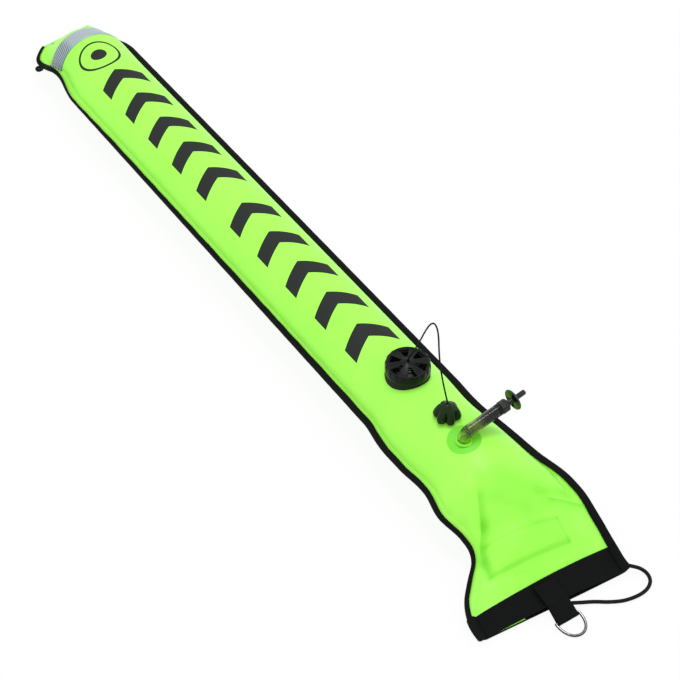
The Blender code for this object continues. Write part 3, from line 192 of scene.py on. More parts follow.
def path_length(points):
    return sum((b - a).length for a, b in zip(points, points[1:]))


def new_piece(name, verts, faces, look, uvs=None, smooth=True):
    """A mesh object from points and faces. uvs has one pair for each point."""
    mesh = bpy.data.meshes.new(name)
    mesh.from_pydata([tuple(v) for v in verts], [], faces)
    mesh.update()
    if uvs is not None:
        layer = mesh.uv_layers.new(name="cut")
        for loop in mesh.loops:
            layer.data[loop.index].uv = uvs[loop.vertex_index]
    if smooth:
        mesh.shade_smooth()
    mesh.materials.append(look)
    return placed(name, mesh)


def ring_faces(rings, sides, cyclic=False, around=True, ends=False):
    """Faces between rings of points, each ring closed round where around is set."""
    faces = []
    for i in range(rings if cyclic else rings - 1):
        low, high = i * sides, (i + 1) % rings * sides
        for k in range(sides if around else sides - 1):
            n = (k + 1) % sides
            faces.append((low + k, low + n, high + n, high + k))
    if ends:
        faces.append(tuple(range(sides))[::-1])
        faces.append(tuple((rings - 1) * sides + k for k in range(sides)))
    return faces


def swept(name, points, radius, look, sides=16, cyclic=False, ends=True):
    """A round tube along points, with UVs in metres: u along the path, v round it."""
    count = len(points)
    tangents = []
    for i in range(count):
        before = points[i - 1] if cyclic or i > 0 else points[i]
        after = points[(i + 1) % count] if cyclic or i < count - 1 else points[i]
        tangents.append((after - before).normalized())
    side = tangents[0].orthogonal().normalized()
    verts, uvs, frames = [], [], []
    along = 0.0
    for i in range(count):
        side = (side - tangents[i] * side.dot(tangents[i])).normalized()
        frames.append(side.copy())
    twist = 0.0
    if cyclic:
        last = (frames[-1] - tangents[0] * frames[-1].dot(tangents[0])).normalized()
        twist = last.cross(frames[0]).dot(tangents[0])
    for i in range(count):
        up = tangents[i].cross(frames[i])
        if i:
            along += (points[i] - points[i - 1]).length
        for k in range(sides):
            angle = 2 * math.pi * k / sides + twist * i / count
            verts.append(points[i] + (frames[i] * math.cos(angle) + up * math.sin(angle)) * radius)
            uvs.append((along, radius * 2 * math.pi * k / sides))
    faces = ring_faces(count, sides, cyclic, ends=ends and not cyclic)
    made = new_piece(name, verts, faces, look, uvs)
    made.data.set_sharp_from_angle(angle=math.radians(50))
    return made


def cut_places(tree):
    """The piece's own UV map in metres: the pair, u and v."""
    pair = add(tree, "ShaderNodeUVMap", uv_map="cut").outputs[0]
    u, v, _ = add(tree, "ShaderNodeSeparateXYZ", {0: pair}).outputs
    return pair, u, v


def blended(tree, share, first, second):
    """A colour between two, each given as a colour or a socket."""
    pair = [c if isinstance(c, bpy.types.NodeSocket) else (*c, 1) for c in (first, second)]
    return add(tree, "ShaderNodeMix", {0: share, 6: pair[0], 7: pair[1]}, data_type="RGBA").outputs[2]


def bumped(tree, height, strength, distance, **under):
    """A normal that follows a height."""
    inputs = {"Strength": strength, "Distance": distance, "Height": height, **under}
    return add(tree, "ShaderNodeBump", inputs).outputs[0]


def feed(tree, shader, **sockets):
    """Join sockets to the shader's own, named with _ for a space."""
    for key, value in sockets.items():
        tree.links.new(value, shader.inputs[key.replace("_", " ")])


def cord_finish(name, color, radius, pitch, strength):
    """Braided cord: two sets of strands wound opposite ways, read from the piece's own UVs."""
    made, tree, shader = finish_of(name, color, 0.6, Specular_IOR_Level=0.12)
    _, u, v = cut_places(tree)
    turns = sums(tree, "MULTIPLY", v, 4 / (2 * math.pi * radius))
    run = sums(tree, "MULTIPLY", u, 1 / pitch)
    strands = []
    for way in ("ADD", "SUBTRACT"):
        phase = sums(tree, "MULTIPLY", sums(tree, way, turns, run), 2 * math.pi)
        strands.append(sums(tree, "SINE", phase))
    braid = sums(tree, "MAXIMUM", *strands)
    # painted shade and highlight: the strands' tops lighter and the grooves between them darker
    tone = sums(tree, "MULTIPLY_ADD", braid, 0.3, 0.5)
    shade = blended(tree, tone, [c * 0.55 for c in color], [c * 1.5 for c in color])
    feed(tree, shader, Base_Color=shade, Normal=bumped(tree, braid, strength, 0.0003))
    return made


thin_cord_look = cord_finish("thin_black_cord", (0.004, 0.0045, 0.0045), CORD_RADIUS, 0.0035, 0.5)
knob_low, knob_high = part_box("pull_knob")
cord_route = [CORD_START]
cord_route += [Vector((x / 1000, y / 1000, RIDGE + z / 1000)) for x, y, z in CORD_ROUTE]
cord_route.append(Vector((KNOB_SPOT.x, KNOB_SPOT.y, knob_high.z + 0.0003)))
cord_path = smooth_path(cord_route, 0.0025)
pull_cord = swept("pull_cord_braid", cord_path, CORD_RADIUS, thin_cord_look, sides=12)
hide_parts("pull_cord")
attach(pull_cord, "poppet_set")
print("pull cord length", round(path_length(cord_path), 4))

# Elastic loop
# A 4 mm elastic cord in a braided sleeve. It leaves the tab at the middle of the mouth, lies in an open curve
# on the table and is sewn into the mouth's right corner.
BUNGEE_RADIUS = 0.002
BUNGEE_START = Vector((-0.0063, -0.3003, 0.006))
# places in mm
BUNGEE_ROUTE = (
    (3, -303.5, 3.4), (15.6, -309.5, 2.1), (28, -318, 2.1), (42, -325, 2.1), (58, -328, 2.1),
    (71, -326.5, 2.1), (80, -320.5, 2.1), (83, -312, 2.8), (79.5, -304, 5.4),
)
BUNGEE_END = Vector((0.0695, -0.2957, 0.0088))
bungee_look = cord_finish("elastic_cord", (0.005, 0.0055, 0.0055), BUNGEE_RADIUS, 0.006, 0.7)
bungee_route = [BUNGEE_START]
bungee_route += [Vector((x / 1000, y / 1000, z / 1000)) for x, y, z in BUNGEE_ROUTE]
bungee_route.append(BUNGEE_END)
bungee_path = smooth_path(bungee_route, 0.0022)
bungee = swept("elastic_loop", bungee_path, BUNGEE_RADIUS, bungee_look, sides=16)
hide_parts("bungee_loop")
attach(bungee, "tube")
print("elastic loop length", round(path_length(bungee_path), 4))

# Fabric tube
# Two panels of thin coated nylon in a fluorescent yellow-green, welded along both long seams and at the top,
# and left open at the mouth. Air holds them round. Their tail runs flat to the mouth, and creases there.
HALF_WIDTH = 0.060
SEAM_HEIGHT = 0.038
FRONT_RISE = 0.038
BACK_SPARE = 0.003
SKIN = 0.0008
CLEAR = 0.0003
SEAM_WIDTH = 0.0095
MOUTH_Y = -0.291
MOUTH_SKEW = 0.006
TAIL_LENGTH = 0.285
TOP_Y = 0.811
TOP_CORNER = 0.018
TOP_NARROWER = 0.007
DOME_LENGTH = 0.066
DOME_POWER = 2.5
EAR_DROOP = 0.012
EAR_WIDE = 0.032
EAR_FLAT = 0.008
TOP_SKEW = 0.008
BAND_WIDTH = 0.026
WEBBING = 0.0011
ACROSS = 64
# rows lie close in the tail and the top end, and wider apart between these distances from the mouth
TAIL_ROWS_END = 0.330
TUBE_ROWS_END = 0.930
CORNER_STEPS = 10
# distance from the mouth, distance outside HALF_WIDTH (both in mm), share of SEAM_HEIGHT
LEFT_TAIL = (
    (0, 50, 0.19), (22, 47, 0.22), (45, 35, 0.29), (60, 21, 0.38), (73, 7, 0.50), (85, 1.5, 0.61),
    (99, 1.5, 0.74), (133, 8, 0.93), (166, 2, 0.98), (207, 5, 1.0), (247, 5, 1.0), (285, 0, 1.0),
)
RIGHT_TAIL = (
    (0, 11, 0.22), (33, 14, 0.42), (60, 17, 0.64), (88, 18.5, 0.86), (106, 17.5, 0.94), (149, 9, 1.0),
    (193, 4.5, 1.0), (240, -1, 1.0), (285, 0, 1.0),
)
# distance from the mouth (mm), share of the full rise
TAIL_FULLNESS = ((0, 0.12), (35, 0.20), (71, 0.37), (101, 0.60), (131, 0.84), (161, 0.96), (191, 1.0))
# distance from the mouth (mm), angle by which the edges curl up (degrees)
EDGE_CURL = ((0, 30.0), (30, 30.0), (60, 14.0), (90, 0.0))
# distance from the top corner (mm), share of TOP_NARROWER
LEFT_WAIST = ((0, 0.75), (20, 0.75), (38, 0.7), (52, 1.2), (64, 1.25), (94, 0.45), (120, 0.0))
RIGHT_WAIST = ((0, 1.0), (20, 1.0), (36, 0.85), (50, 0.3), (66, 0.0))


def eased(table, x, column=1):
    """Smooth curve through a table's points, held level past both ends."""
    xs = [p[0] for p in table]
    ys = [p[column] for p in table]
    if x <= xs[0]:
        return ys[0]
    if x >= xs[-1]:
        return ys[-1]
    slopes = np.gradient(ys, xs)
    slopes[0] = slopes[-1] = 0
    i = int(np.searchsorted(xs, x, side="right")) - 1
    width = xs[i + 1] - xs[i]
    t = (x - xs[i]) / width
    return float(
        (2 * t**3 - 3 * t**2 + 1) * ys[i]
        + (t**3 - 2 * t**2 + t) * width * slopes[i]
        + (3 * t**2 - 2 * t**3) * ys[i + 1]
        + (t**3 - t**2) * width * slopes[i + 1]
    )


def ramp(x, start, end):
    """Smooth step from 0 at start to 1 at end."""
    t = min(max((x - start) / (end - start), 0.0), 1.0)
    return t * t * (3 - 2 * t)


def drooped(p):
    """The top end's ears hang lower than its middle, and its right side reaches further."""
    across = ramp(abs(p.x), HALF_WIDTH - EAR_WIDE, HALF_WIDTH - EAR_FLAT)
    along = ramp(p.y, TOP_Y - DOME_LENGTH, TOP_Y - TOP_CORNER)
    reach = TOP_SKEW * p.x / HALF_WIDTH
    return Vector((p.x, p.y + reach * along, p.z - EAR_DROOP * across * along))


def seam_route(side):
    """Outer edge of one seam before the ears droop, mouth first."""
    corner = TOP_Y - TOP_CORNER - MOUTH_Y
    places = list(np.arange(0, TAIL_ROWS_END, 0.0035))
    places += list(np.arange(places[-1] + 0.008, TUBE_ROWS_END, 0.011))
    places += list(np.arange(places[-1] + 0.004, corner, 0.003))
    waist = RIGHT_WAIST if side > 0 else LEFT_WAIST
    tail = RIGHT_TAIL if side > 0 else LEFT_TAIL
    found = []
    for place in places:
        y = MOUTH_Y + place
        if place < TAIL_LENGTH:
            skew = -side * MOUTH_SKEW * (1 - place / TAIL_LENGTH)
            out = eased(tail, place * 1000) / 1000
            lift = eased(tail, place * 1000, 2)
            found.append(Vector((side * (HALF_WIDTH + out), y + skew, SEAM_HEIGHT * lift)))
        else:
            half_here = HALF_WIDTH - TOP_NARROWER * eased(waist, (TOP_Y - TOP_CORNER - y) * 1000)
            found.append(Vector((side * half_here, y, SEAM_HEIGHT)))
    start = Vector((side * (HALF_WIDTH - TOP_NARROWER * waist[0][1]), TOP_Y - TOP_CORNER, SEAM_HEIGHT))
    for k in range(CORNER_STEPS + 1):
        angle = math.pi / 2 * k / CORNER_STEPS
        inward, further = TOP_CORNER * (1 - math.cos(angle)), TOP_CORNER * math.sin(angle)
        found.append(start + Vector((-side * inward, further, 0)))
    return found


class SeamPoint:
    """A point on a seam's outer edge, with the directions along it, inward and up."""

    def __init__(self, point, along, side):
        level = Vector((0, 0, 1)).cross(along).normalized() * side
        curl = math.radians(eased(EDGE_CURL, (point.y - MOUTH_Y) * 1000))
        inward = level * math.cos(curl) - Vector((0, 0, 1)) * math.sin(curl)
        self.root = point + inward * SEAM_WIDTH
        self.point = drooped(point)
        self.inward = (drooped(self.root) - self.point) / SEAM_WIDTH

    def set_up(self, along, side):
        self.along = along.normalized()
        self.up = (self.along.cross(self.inward) * side).normalized()

    def at(self, inward, up):
        return self.point + self.inward * inward + self.up * up


def seam_points(side):
    route = seam_route(side)
    last = len(route) - 1
    found = []
    for i, point in enumerate(route):
        along = (route[min(i + 1, last)] - route[max(i - 1, 0)]).normalized()
        if i == last:
            along = Vector((-side, 0, 0))
        found.append(SeamPoint(point, along, side))
    for i, spot in enumerate(found):
        spot.set_up(found[min(i + 1, last)].point - found[max(i - 1, 0)].point, side)
    found[-1].set_up(Vector((-side, 0, 0)), side)
    return found


LEFT = seam_points(-1)
RIGHT = seam_points(1)
ROWS = len(LEFT)


def fullness(y):
    dome_start = TOP_Y - SEAM_WIDTH - DOME_LENGTH
    if y > dome_start:
        return 1 - min((y - dome_start) / DOME_LENGTH, 1.0) ** DOME_POWER
    return eased(TAIL_FULLNESS, (y - MOUTH_Y) * 1000)


def floor_at(y):
    """Lowest place of the back panel's inner face: the webbing lies under it at the mouth."""
    over_webbing = 1 - ramp(y, MOUTH_Y + BAND_WIDTH, MOUTH_Y + 1.8 * BAND_WIDTH)
    return SKIN + (CLEAR + WEBBING + 0.0001) * over_webbing


def ridge_line(p, a, b, width):
    """Share from 0 to 1 of how near p is to the line from a to b, in the floor's plane."""
    run = (b[0] - a[0], b[1] - a[1])
    size = run[0] ** 2 + run[1] ** 2
    t = ((p.x - a[0]) * run[0] + (p.y - a[1]) * run[1]) / size
    fade = ramp(t, -0.25, 0.1) * (1 - ramp(t, 0.9, 1.25))
    t = min(max(t, 0.0), 1.0)
    away = math.hypot(p.x - a[0] - run[0] * t, p.y - a[1] - run[1] * t)
    return fade * math.exp(-((away / width) ** 2))


PUCKER = 0.00028
PUCKER_REACH = 0.009
# creases of the tail: start, end, half width, height (mm)
CREASES = (
    ((-20, -152), (-40, -190), 6.0, -2.2),
    ((-40, -190), (-57, -211), 5.0, -2.6),
    ((-57, -211), (-62, -236), 4.5, -1.8),
    ((-30, -150), (-52, -192), 7.0, 1.6),
    ((-52, -192), (-72, -214), 6.0, 1.8),
    ((64, -205), (30, -186), 5.0, 1.4),
    ((66, -214), (24, -196), 4.0, -1.3),
    ((60, -190), (36, -172), 4.0, -0.9),
    ((58, -160), (64, -196), 2.2, -1.2),
    ((-8, -176), (14, -206), 9.0, 1.0),
    ((-22, -178), (-14, -204), 7.0, -0.9),
    ((8, -160), (40, -170), 8.0, 0.7),
    ((-66, -246), (-20, -262), 5.0, 0.8),
    ((52, -250), (10, -262), 5.0, 0.6),
)
# the pocket's outline on the front cloth: turn, middle, half size and half step of its edges (mm)
PRESSED = Matrix.Rotation(math.radians(-4.6), 2)
PRESSED_SPOT = (-9.5, -226.5)
PRESSED_HIGH = 1.7
PRESSED_LIP = 0.35
CREASES_END = -0.12


def relief(p):
    """How far the front cloth stands off its plain round at p: its creases and the pocket behind it."""
    q = p * 1000
    height = sum(high * ridge_line(q, a, b, width) for a, b, width, high in CREASES)
    along = PRESSED.transposed() @ Vector((q.x - PRESSED_SPOT[0], q.y - PRESSED_SPOT[1]))
    inside_x = 1 - ramp(abs(along.x), 43, 49)
    inside_y = 1 - ramp(abs(along.y), 11.5, 16)
    height += PRESSED_HIGH * inside_x * inside_y
    lip = math.exp(-(((abs(along.y) - 12.5) / 1.8) ** 2)) * inside_x
    height += PRESSED_LIP * lip
    slack = ramp(-q.y, 150, 200) * ramp(q.y, -284, -262)
    height += 0.5 * math.sin(q.x / 17 + 1.0) * math.sin(q.y / 23) * slack
    return height / 1000


def pucker(place, side):
    """Small gathers beside a seam, uneven in step and depth."""
    phase = place * 1000
    depth = 0.6 + 0.4 * math.sin(phase / 41 + 2 * side)
    return math.sin(phase / 2.9 + 1.7 * math.sin(phase / 23 + side)) * depth * PUCKER


def cloth_row(i, face):
    """Points across one row of a panel's inner face, from seam edge to seam edge."""
    left, right = LEFT[i], RIGHT[i]
    lift = face * CLEAR / 2
    y = (left.root.y + right.root.y) / 2
    seam_height = (left.root.z + right.root.z) / 2 + lift
    if face > 0:
        rise = FRONT_RISE * fullness(y)
    else:
        sag = seam_height + BACK_SPARE * fullness(y) - floor_at(y)
        rise = -sag * math.sqrt(fullness(y)) if y > 0 else -sag
    up = Vector((0, 0, lift))
    start, end = left.root + up, right.root + up
    chord = end - start
    wide = chord.length / 2
    across = chord.normalized()
    normal = (Vector((0, 0, 1)) - across * across.z).normalized()
    tall = max(abs(rise), 0.00001)
    radius = (wide * wide + tall * tall) / (2 * tall)
    spread = math.atan2(wide, radius - tall)
    points = []
    for j in range(1, ACROSS):
        angle = spread * (2 * j / ACROSS - 1)
        height = (radius * math.cos(angle) - radius + tall) * math.copysign(1, rise)
        p = start.lerp(end, 0.5) + across * radius * math.sin(angle) + normal * height
        step = 2 * spread * radius / ACROSS
        near_left = math.exp(-j * step / PUCKER_REACH)
        near_right = math.exp(-(ACROSS - j) * step / PUCKER_REACH)
        away = ramp(p.y, TOP_Y - 0.02, TOP_Y - 0.06)
        gather = near_left * pucker(y, -1) + near_right * pucker(y + 0.4, 1)
        p += normal * gather * away * ramp(p.y, MOUTH_Y + 0.02, MOUTH_Y + 0.05)
        points.append(drooped(p))
    points = [left.at(0, lift), left.at(SEAM_WIDTH, lift), *points]
    points += [right.at(SEAM_WIDTH, lift), right.at(0, lift)]
    if face < 0:
        points = [Vector((p.x, p.y, max(p.z, floor_at(p.y)))) for p in points]
    return points


def cloth_grid(face):
    rows = [cloth_row(i, face) for i in range(ROWS)]
    first, last = rows[-1][0], rows[-1][-1]
    return rows, [first.lerp(last, j / (len(rows[-1]) - 1)) for j in range(len(rows[-1]))]


def grid_normals(rows):
    """Unit normals of a grid of points, pointing up where the rows run left to right and mouth to top."""
    g = np.array([[tuple(p) for p in r] for r in rows])
    along = np.gradient(g, axis=0)
    across = np.gradient(g, axis=1)
    n = np.cross(across, along)
    size = np.linalg.norm(n, axis=2, keepdims=True)
    return n / np.maximum(size, 1e-12)


COLUMNS = ACROSS + 3
front_rows, top_edge_front = cloth_grid(1)
back_rows, top_edge_back = cloth_grid(-1)
front_normals = grid_normals(front_rows)
for i in range(ROWS):
    for j in range(2, COLUMNS - 2):
        spot = front_rows[i][j]
        if MOUTH_Y + 0.001 < spot.y < CREASES_END:
            edge = min(j - 1, COLUMNS - 2 - j) / 6
            front_rows[i][j] = spot + Vector(front_normals[i][j]) * relief(spot) * min(edge, 1.0)
front_normals = grid_normals(front_rows)
back_normals = grid_normals(back_rows)


def off_cloth(i, j, height, face=1):
    """A grid point of a panel, height away from its inner face."""
    rows, normals = (front_rows, front_normals) if face > 0 else (back_rows, back_normals)
    return rows[i][j] + Vector(normals[i][j]) * height * face


def cloth_uvs(rows):
    """In metres: u is the distance across the cloth from its middle column, v the place along the tube."""
    found = []
    for row in rows:
        steps = [0.0]
        for a, b in zip(row, row[1:]):
            steps.append(steps[-1] + (b - a).length)
        middle = np.interp(0.0, [p.x for p in row], steps)
        found += [(s - middle, p.y) for s, p in zip(steps, row)]
    return found


# The cloth's finish: a fine weave under a smooth coat, faint mottling, painted shade along the tail's folds,
# and charcoal marks screen printed on the front, two groups of plain chevrons that point to the top end, and
# a plain ring above them.
CLOTH = (0.40, 1.0, 0.105)
CLOTH_DEEP = (0.27, 0.95, 0.045)
# the colour of the painted shade at the tail's folds
CLOTH_FOLD_SHADE = (0.15, 0.70, 0.008)
WELDED = (0.17, 0.74, 0.025)
INK = (0.0095, 0.0125, 0.0105)
MARK_HALF = 0.0305
MARK_STROKE = 0.0235
MARK_SLOPE = 0.62
MARK_MIDDLE = -0.004
MARK_GAP = 0.008
# where each group starts and ends along the tube, and the step from mark to mark
MARK_GROUPS = ((0.366, 0.664, 0.0596), (0.039, 0.3465, 0.0615))
RING_SPOT = (-0.006, 0.6965)
RING_RADIUS = 0.0255
RING_LINE = 0.0034
RING_DOT = 0.42
DISC_SPOT = (-0.0057, -0.1107)
DISC_RADIUS = 0.0182
# painted shade along the tail's folds and the pocket's outline: start, end, half width (mm), 1 to keep only
# the side to the left of the way, depth
FOLD_SHADES = (
    ((-29, -168), (-41, -191), 7.0, 1, 0.50),
    ((-41, -191), (-52, -206), 8.0, 1, 0.45),
    ((-52, -206), (-58, -221), 6.0, 0, 0.42),
    ((-57, -219), (-62, -233), 5.5, 0, 0.42),
    ((-62, -236.8), (31.3, -247.2), 2.2, 0, 0.31),
    ((31.3, -247.2), (31.6, -224.2), 1.8, 0, 0.25),
    ((-48, -208.5), (31.6, -224.2), 2.0, 0, 0.20),
    ((66, -217.6), (40, -205), 7.5, 1, 0.50),
    ((51, -200), (61, -209.6), 3.6, 0, 0.24),
    ((60, -136), (63, -156), 4.5, 0, 0.50),
    ((63, -156), (60.5, -180), 4.0, 0, 0.50),
    ((60.5, -180), (60, -200), 3.4, 0, 0.40),
    ((0, -163), (30, -196), 13.0, 0, 0.24),
    ((-12, -180), (6, -202), 12.0, 0, 0.22),
    ((-40, -240), (-20, -262), 10.0, 0, 0.12),
)


def shared_effect(name, kind, inputs, output, shape):
    """A node group with its named inputs and one output, and its entry's sockets."""
    made = bpy.data.node_groups.new(name, kind)
    for label, kept, value in inputs:
        socket = made.interface.new_socket(label, in_out="INPUT", socket_type="NodeSocket" + kept)
        if value is not None:
            socket.default_value = value
    made.interface.new_socket(output, in_out="OUTPUT", socket_type="NodeSocket" + shape)
    return made, add(made, "NodeGroupInput").outputs


def weave_group():
    """Crossed threads: a height from 0 to 1 at a thread pitch, on any coordinates in metres."""
    inputs = (("Vector", "Vector", None), ("Pitch", "Float", 0.0006), ("Ratio", "Float", 1.0))
    made, entry = shared_effect("crossed_threads", "ShaderNodeTree", inputs, "Height", "Float")
    split = add(made, "ShaderNodeSeparateXYZ", {0: entry["Vector"]})
    per = sums(made, "DIVIDE", math.pi, entry["Pitch"])
    wide = sums(made, "DIVIDE", per, entry["Ratio"])
    a = sums(made, "SINE", sums(made, "MULTIPLY", split.outputs[0], per))
    b = sums(made, "SINE", sums(made, "MULTIPLY", split.outputs[1], wide))
    both = sums(made, "MULTIPLY", a, b)
    add(made, "NodeGroupOutput", {"Height": sums(made, "MULTIPLY_ADD", both, 0.5, 0.5)})
    return made


def wear_group():
    """Soft uneven patches from 0 to 1, for dust, handling marks and uneven gloss."""
    inputs = (("Vector", "Vector", None), ("Scale", "Float", 40.0))
    made, entry = shared_effect("uneven_patches", "ShaderNodeTree", inputs, "Patches", "Float")
    noise = {"Vector": entry["Vector"], "Scale": entry["Scale"], "Detail": 3.0}
    coarse = add(made, "ShaderNodeTexNoise", noise).outputs[0]
    noise = {"Vector": entry["Vector"], "Scale": sums(made, "MULTIPLY", entry["Scale"], 5.3), "Detail": 2.0}
    fine = add(made, "ShaderNodeTexNoise", noise).outputs[0]
    both = sums(made, "MULTIPLY_ADD", fine, 0.35, sums(made, "MULTIPLY", coarse, 0.65))
    add(made, "NodeGroupOutput", {"Patches": both})
    return made


def mapped(tree, value, low, high, at_low=0.0, at_high=1.0):
    """A value carried from one range to another, and held at its ends."""
    inputs = {0: value, 1: low, 2: high, 3: at_low, 4: at_high}
    return add(tree, "ShaderNodeMapRange", inputs).outputs[0]


def fold_shade_line_group():
    """1 on a straight line seen from above, fading over Width. Side at 1 keeps only the left of its way."""
    inputs = [(label, "Vector", None) for label in ("Vector", "Start", "End")]
    inputs += [(label, "Float", None) for label in ("Width", "Side")]
    made, entry = shared_effect("fold_shade_line", "ShaderNodeTree", inputs, "Mask", "Float")

    def vector(operation, a, b):
        return add(made, "ShaderNodeVectorMath", {0: a, 1: b}, operation=operation).outputs

    flat = vector("MULTIPLY", entry["Vector"], (1, 1, 0))[0]
    place = vector("SUBTRACT", flat, entry["Start"])[0]
    run = vector("SUBTRACT", entry["End"], entry["Start"])[0]
    size = vector("DOT_PRODUCT", run, run)["Value"]
    share = sums(made, "DIVIDE", vector("DOT_PRODUCT", place, run)["Value"], size)
    share = sums(made, "MINIMUM", sums(made, "MAXIMUM", share, 0.0), 1.0)
    near = add(made, "ShaderNodeVectorMath", {0: run, 3: share}, operation="SCALE").outputs[0]
    away = vector("SUBTRACT", place, near)[0]
    far = sums(made, "DIVIDE", vector("LENGTH", away, (0, 0, 0))["Value"], entry["Width"])
    mask = sums(made, "EXPONENT", sums(made, "MULTIPLY", sums(made, "MULTIPLY", far, far), -1.0))
    turn = add(made, "ShaderNodeSeparateXYZ", {0: vector("CROSS_PRODUCT", run, away)[0]}).outputs[2]
    turn = sums(made, "DIVIDE", turn, sums(made, "SQRT", size))
    left = sums(made, "SUBTRACT", mapped(made, turn, -0.0004, 0.0004), 1.0)
    kept = sums(made, "MULTIPLY_ADD", entry["Side"], left, 1.0)
    add(made, "NodeGroupOutput", {"Mask": sums(made, "MULTIPLY", mask, kept)})
    return made


WEAVE = weave_group()
PATCHES = wear_group()
FOLD_SHADE_LINE = fold_shade_line_group()


def shared(tree, effect, **inputs):
    """A shared effect's result, with this material's own values."""
    return add(tree, "ShaderNodeGroup", inputs, node_tree=effect).outputs[0]


def own_place(tree):
    """Object coordinates: the place on the piece in metres."""
    return add(tree, "ShaderNodeTexCoord").outputs["Object"]


def uneven(tree, shader, scale, spread, least):
    """Patches at a scale, which also make the roughness vary from least by spread."""
    patches = shared(tree, PATCHES, Vector=own_place(tree), Scale=scale)
    feed(tree, shader, Roughness=sums(tree, "MULTIPLY_ADD", patches, spread, least))
    return patches


def between(tree, x, low, high, soft=0.00018):
    """1 between low and high, 0 outside."""
    rise = mapped(tree, x, low - soft, low + soft)
    return sums(tree, "MULTIPLY", rise, mapped(tree, x, high - soft, high + soft, 1.0, 0.0))


def painted_tail_shade(tree, place, patches):
    """Painted shade on the tail: how much darker its colour is along its folds, and in patches towards the
    mouth.
    """
    y = add(tree, "ShaderNodeSeparateXYZ", {0: place}).outputs[1]
    # slack here is painted shade: the tail darkens in uneven patches towards the mouth, where it slopes away
    # from the light
    slack = sums(tree, "MULTIPLY_ADD", patches, 0.55, -0.12)
    folded = sums(tree, "MULTIPLY", mapped(tree, y, -0.14, -0.20), slack)
    for start, end, width, side, depth in FOLD_SHADES:
        start, end = [(x / 1000, y / 1000, 0) for x, y in (start, end)]
        line = shared(tree, FOLD_SHADE_LINE, Vector=place, Start=start, End=end, Width=width / 1000, Side=side)
        folded = sums(tree, "MULTIPLY_ADD", line, depth, folded)
    return folded


def weld_disc(tree, place):
    """1 on the disc round the elbow, seen from above."""
    away = place
    for operation, value in (("SUBTRACT", (*DISC_SPOT, 0)), ("MULTIPLY", (1, 1, 0))):
        away = add(tree, "ShaderNodeVectorMath", {0: away, 1: value}, operation=operation).outputs[0]
    far = add(tree, "ShaderNodeVectorMath", {0: away}, operation="LENGTH").outputs["Value"]
    return between(tree, far, -1.0, DISC_RADIUS, 0.0006)


def printed_marks(tree, u, v):
    """1 on the chevrons and the ring."""
    side = sums(tree, "ABSOLUTE", sums(tree, "SUBTRACT", u, MARK_MIDDLE))
    slanted = sums(tree, "MULTIPLY_ADD", side, MARK_SLOPE, v)
    groups = []
    for low, high, step in MARK_GROUPS:
        turn = sums(tree, "MODULO", sums(tree, "SUBTRACT", slanted, low), step)
        stroke = between(tree, turn, step - MARK_STROKE - MARK_GAP, step - MARK_GAP)
        groups.append(sums(tree, "MULTIPLY", stroke, between(tree, slanted, low, high)))
    marks = sums(tree, "MAXIMUM", *groups)
    marks = sums(tree, "MULTIPLY", marks, between(tree, side, -1.0, MARK_HALF))
    across = sums(tree, "SUBTRACT", u, RING_SPOT[0])
    along = sums(tree, "SUBTRACT", v, RING_SPOT[1])
    squares = [sums(tree, "MULTIPLY", x, x) for x in (across, along)]
    far = sums(tree, "SQRT", sums(tree, "ADD", *squares))
    marks = sums(tree, "MAXIMUM", marks, between(tree, far, RING_RADIUS, RING_RADIUS + RING_LINE))
    return sums(tree, "MAXIMUM", marks, between(tree, far, -1.0, RING_RADIUS * RING_DOT))


def coated_cloth(name, printed):
    """Coated nylon: its colour, its threads and its slack, and on the front painted shade at its folds, its
    weld disc and its marks.
    """
    sockets = dict(Coat_Weight=0.12, Coat_Roughness=0.28, Specular_IOR_Level=0.25)
    made, tree, shader = finish_of(name, CLOTH, 0.42, **sockets)
    pair, u, v = cut_places(tree)
    place = own_place(tree)
    height = shared(tree, WEAVE, Vector=pair, Pitch=0.00055)
    patches = shared(tree, PATCHES, Vector=place, Scale=14.0)
    small = shared(tree, PATCHES, Vector=place, Scale=90.0)
    color = blended(tree, sums(tree, "MULTIPLY_ADD", patches, 0.9, -0.2), CLOTH, CLOTH_DEEP)
    gloss = sums(tree, "MULTIPLY_ADD", small, 0.16, 0.36)
    noise = {"Vector": place, "Scale": 26.0, "Detail": 2.0, "Distortion": 0.6}
    slack = add(tree, "ShaderNodeTexNoise", noise).outputs[0]
    if printed:
        # folded is painted shade: a darker, deeper green along the tail's folds, the pocket's outline and
        # towards the mouth
        folded = painted_tail_shade(tree, place, patches)
        color = blended(tree, folded, color, CLOTH_FOLD_SHADE)
        slack = sums(tree, "MULTIPLY_ADD", folded, -1.0, slack)
        color = blended(tree, weld_disc(tree, place), color, WELDED)
        marks = printed_marks(tree, u, v)
        color = blended(tree, marks, color, blended(tree, small, INK, [c * 1.6 for c in INK]))
        gloss = sums(tree, "MULTIPLY_ADD", marks, 0.25, gloss)
        feed(tree, shader, Coat_Weight=sums(tree, "MULTIPLY_ADD", marks, -0.12, 0.12))
        height = sums(tree, "ADD", height, sums(tree, "MULTIPLY", marks, 0.6))
    loose = bumped(tree, slack, 0.3, 0.0012)
    normal = bumped(tree, height, 0.10, 0.0002, Normal=loose)
    feed(tree, shader, Base_Color=color, Roughness=gloss, Normal=normal)
    return made


front_look = coated_cloth("printed_cloth", True)
back_look = coated_cloth("plain_cloth", False)


def settled(made):
    """The same object with its modifiers made part of its mesh."""
    bpy.context.view_layer.update()
    graph = bpy.context.evaluated_depsgraph_get()
    mesh = bpy.data.meshes.new_from_object(made.evaluated_get(graph), depsgraph=graph)
    made.modifiers.clear()
    old = made.data
    made.data = mesh
    bpy.data.meshes.remove(old)
    mesh.name = made.name
    return made


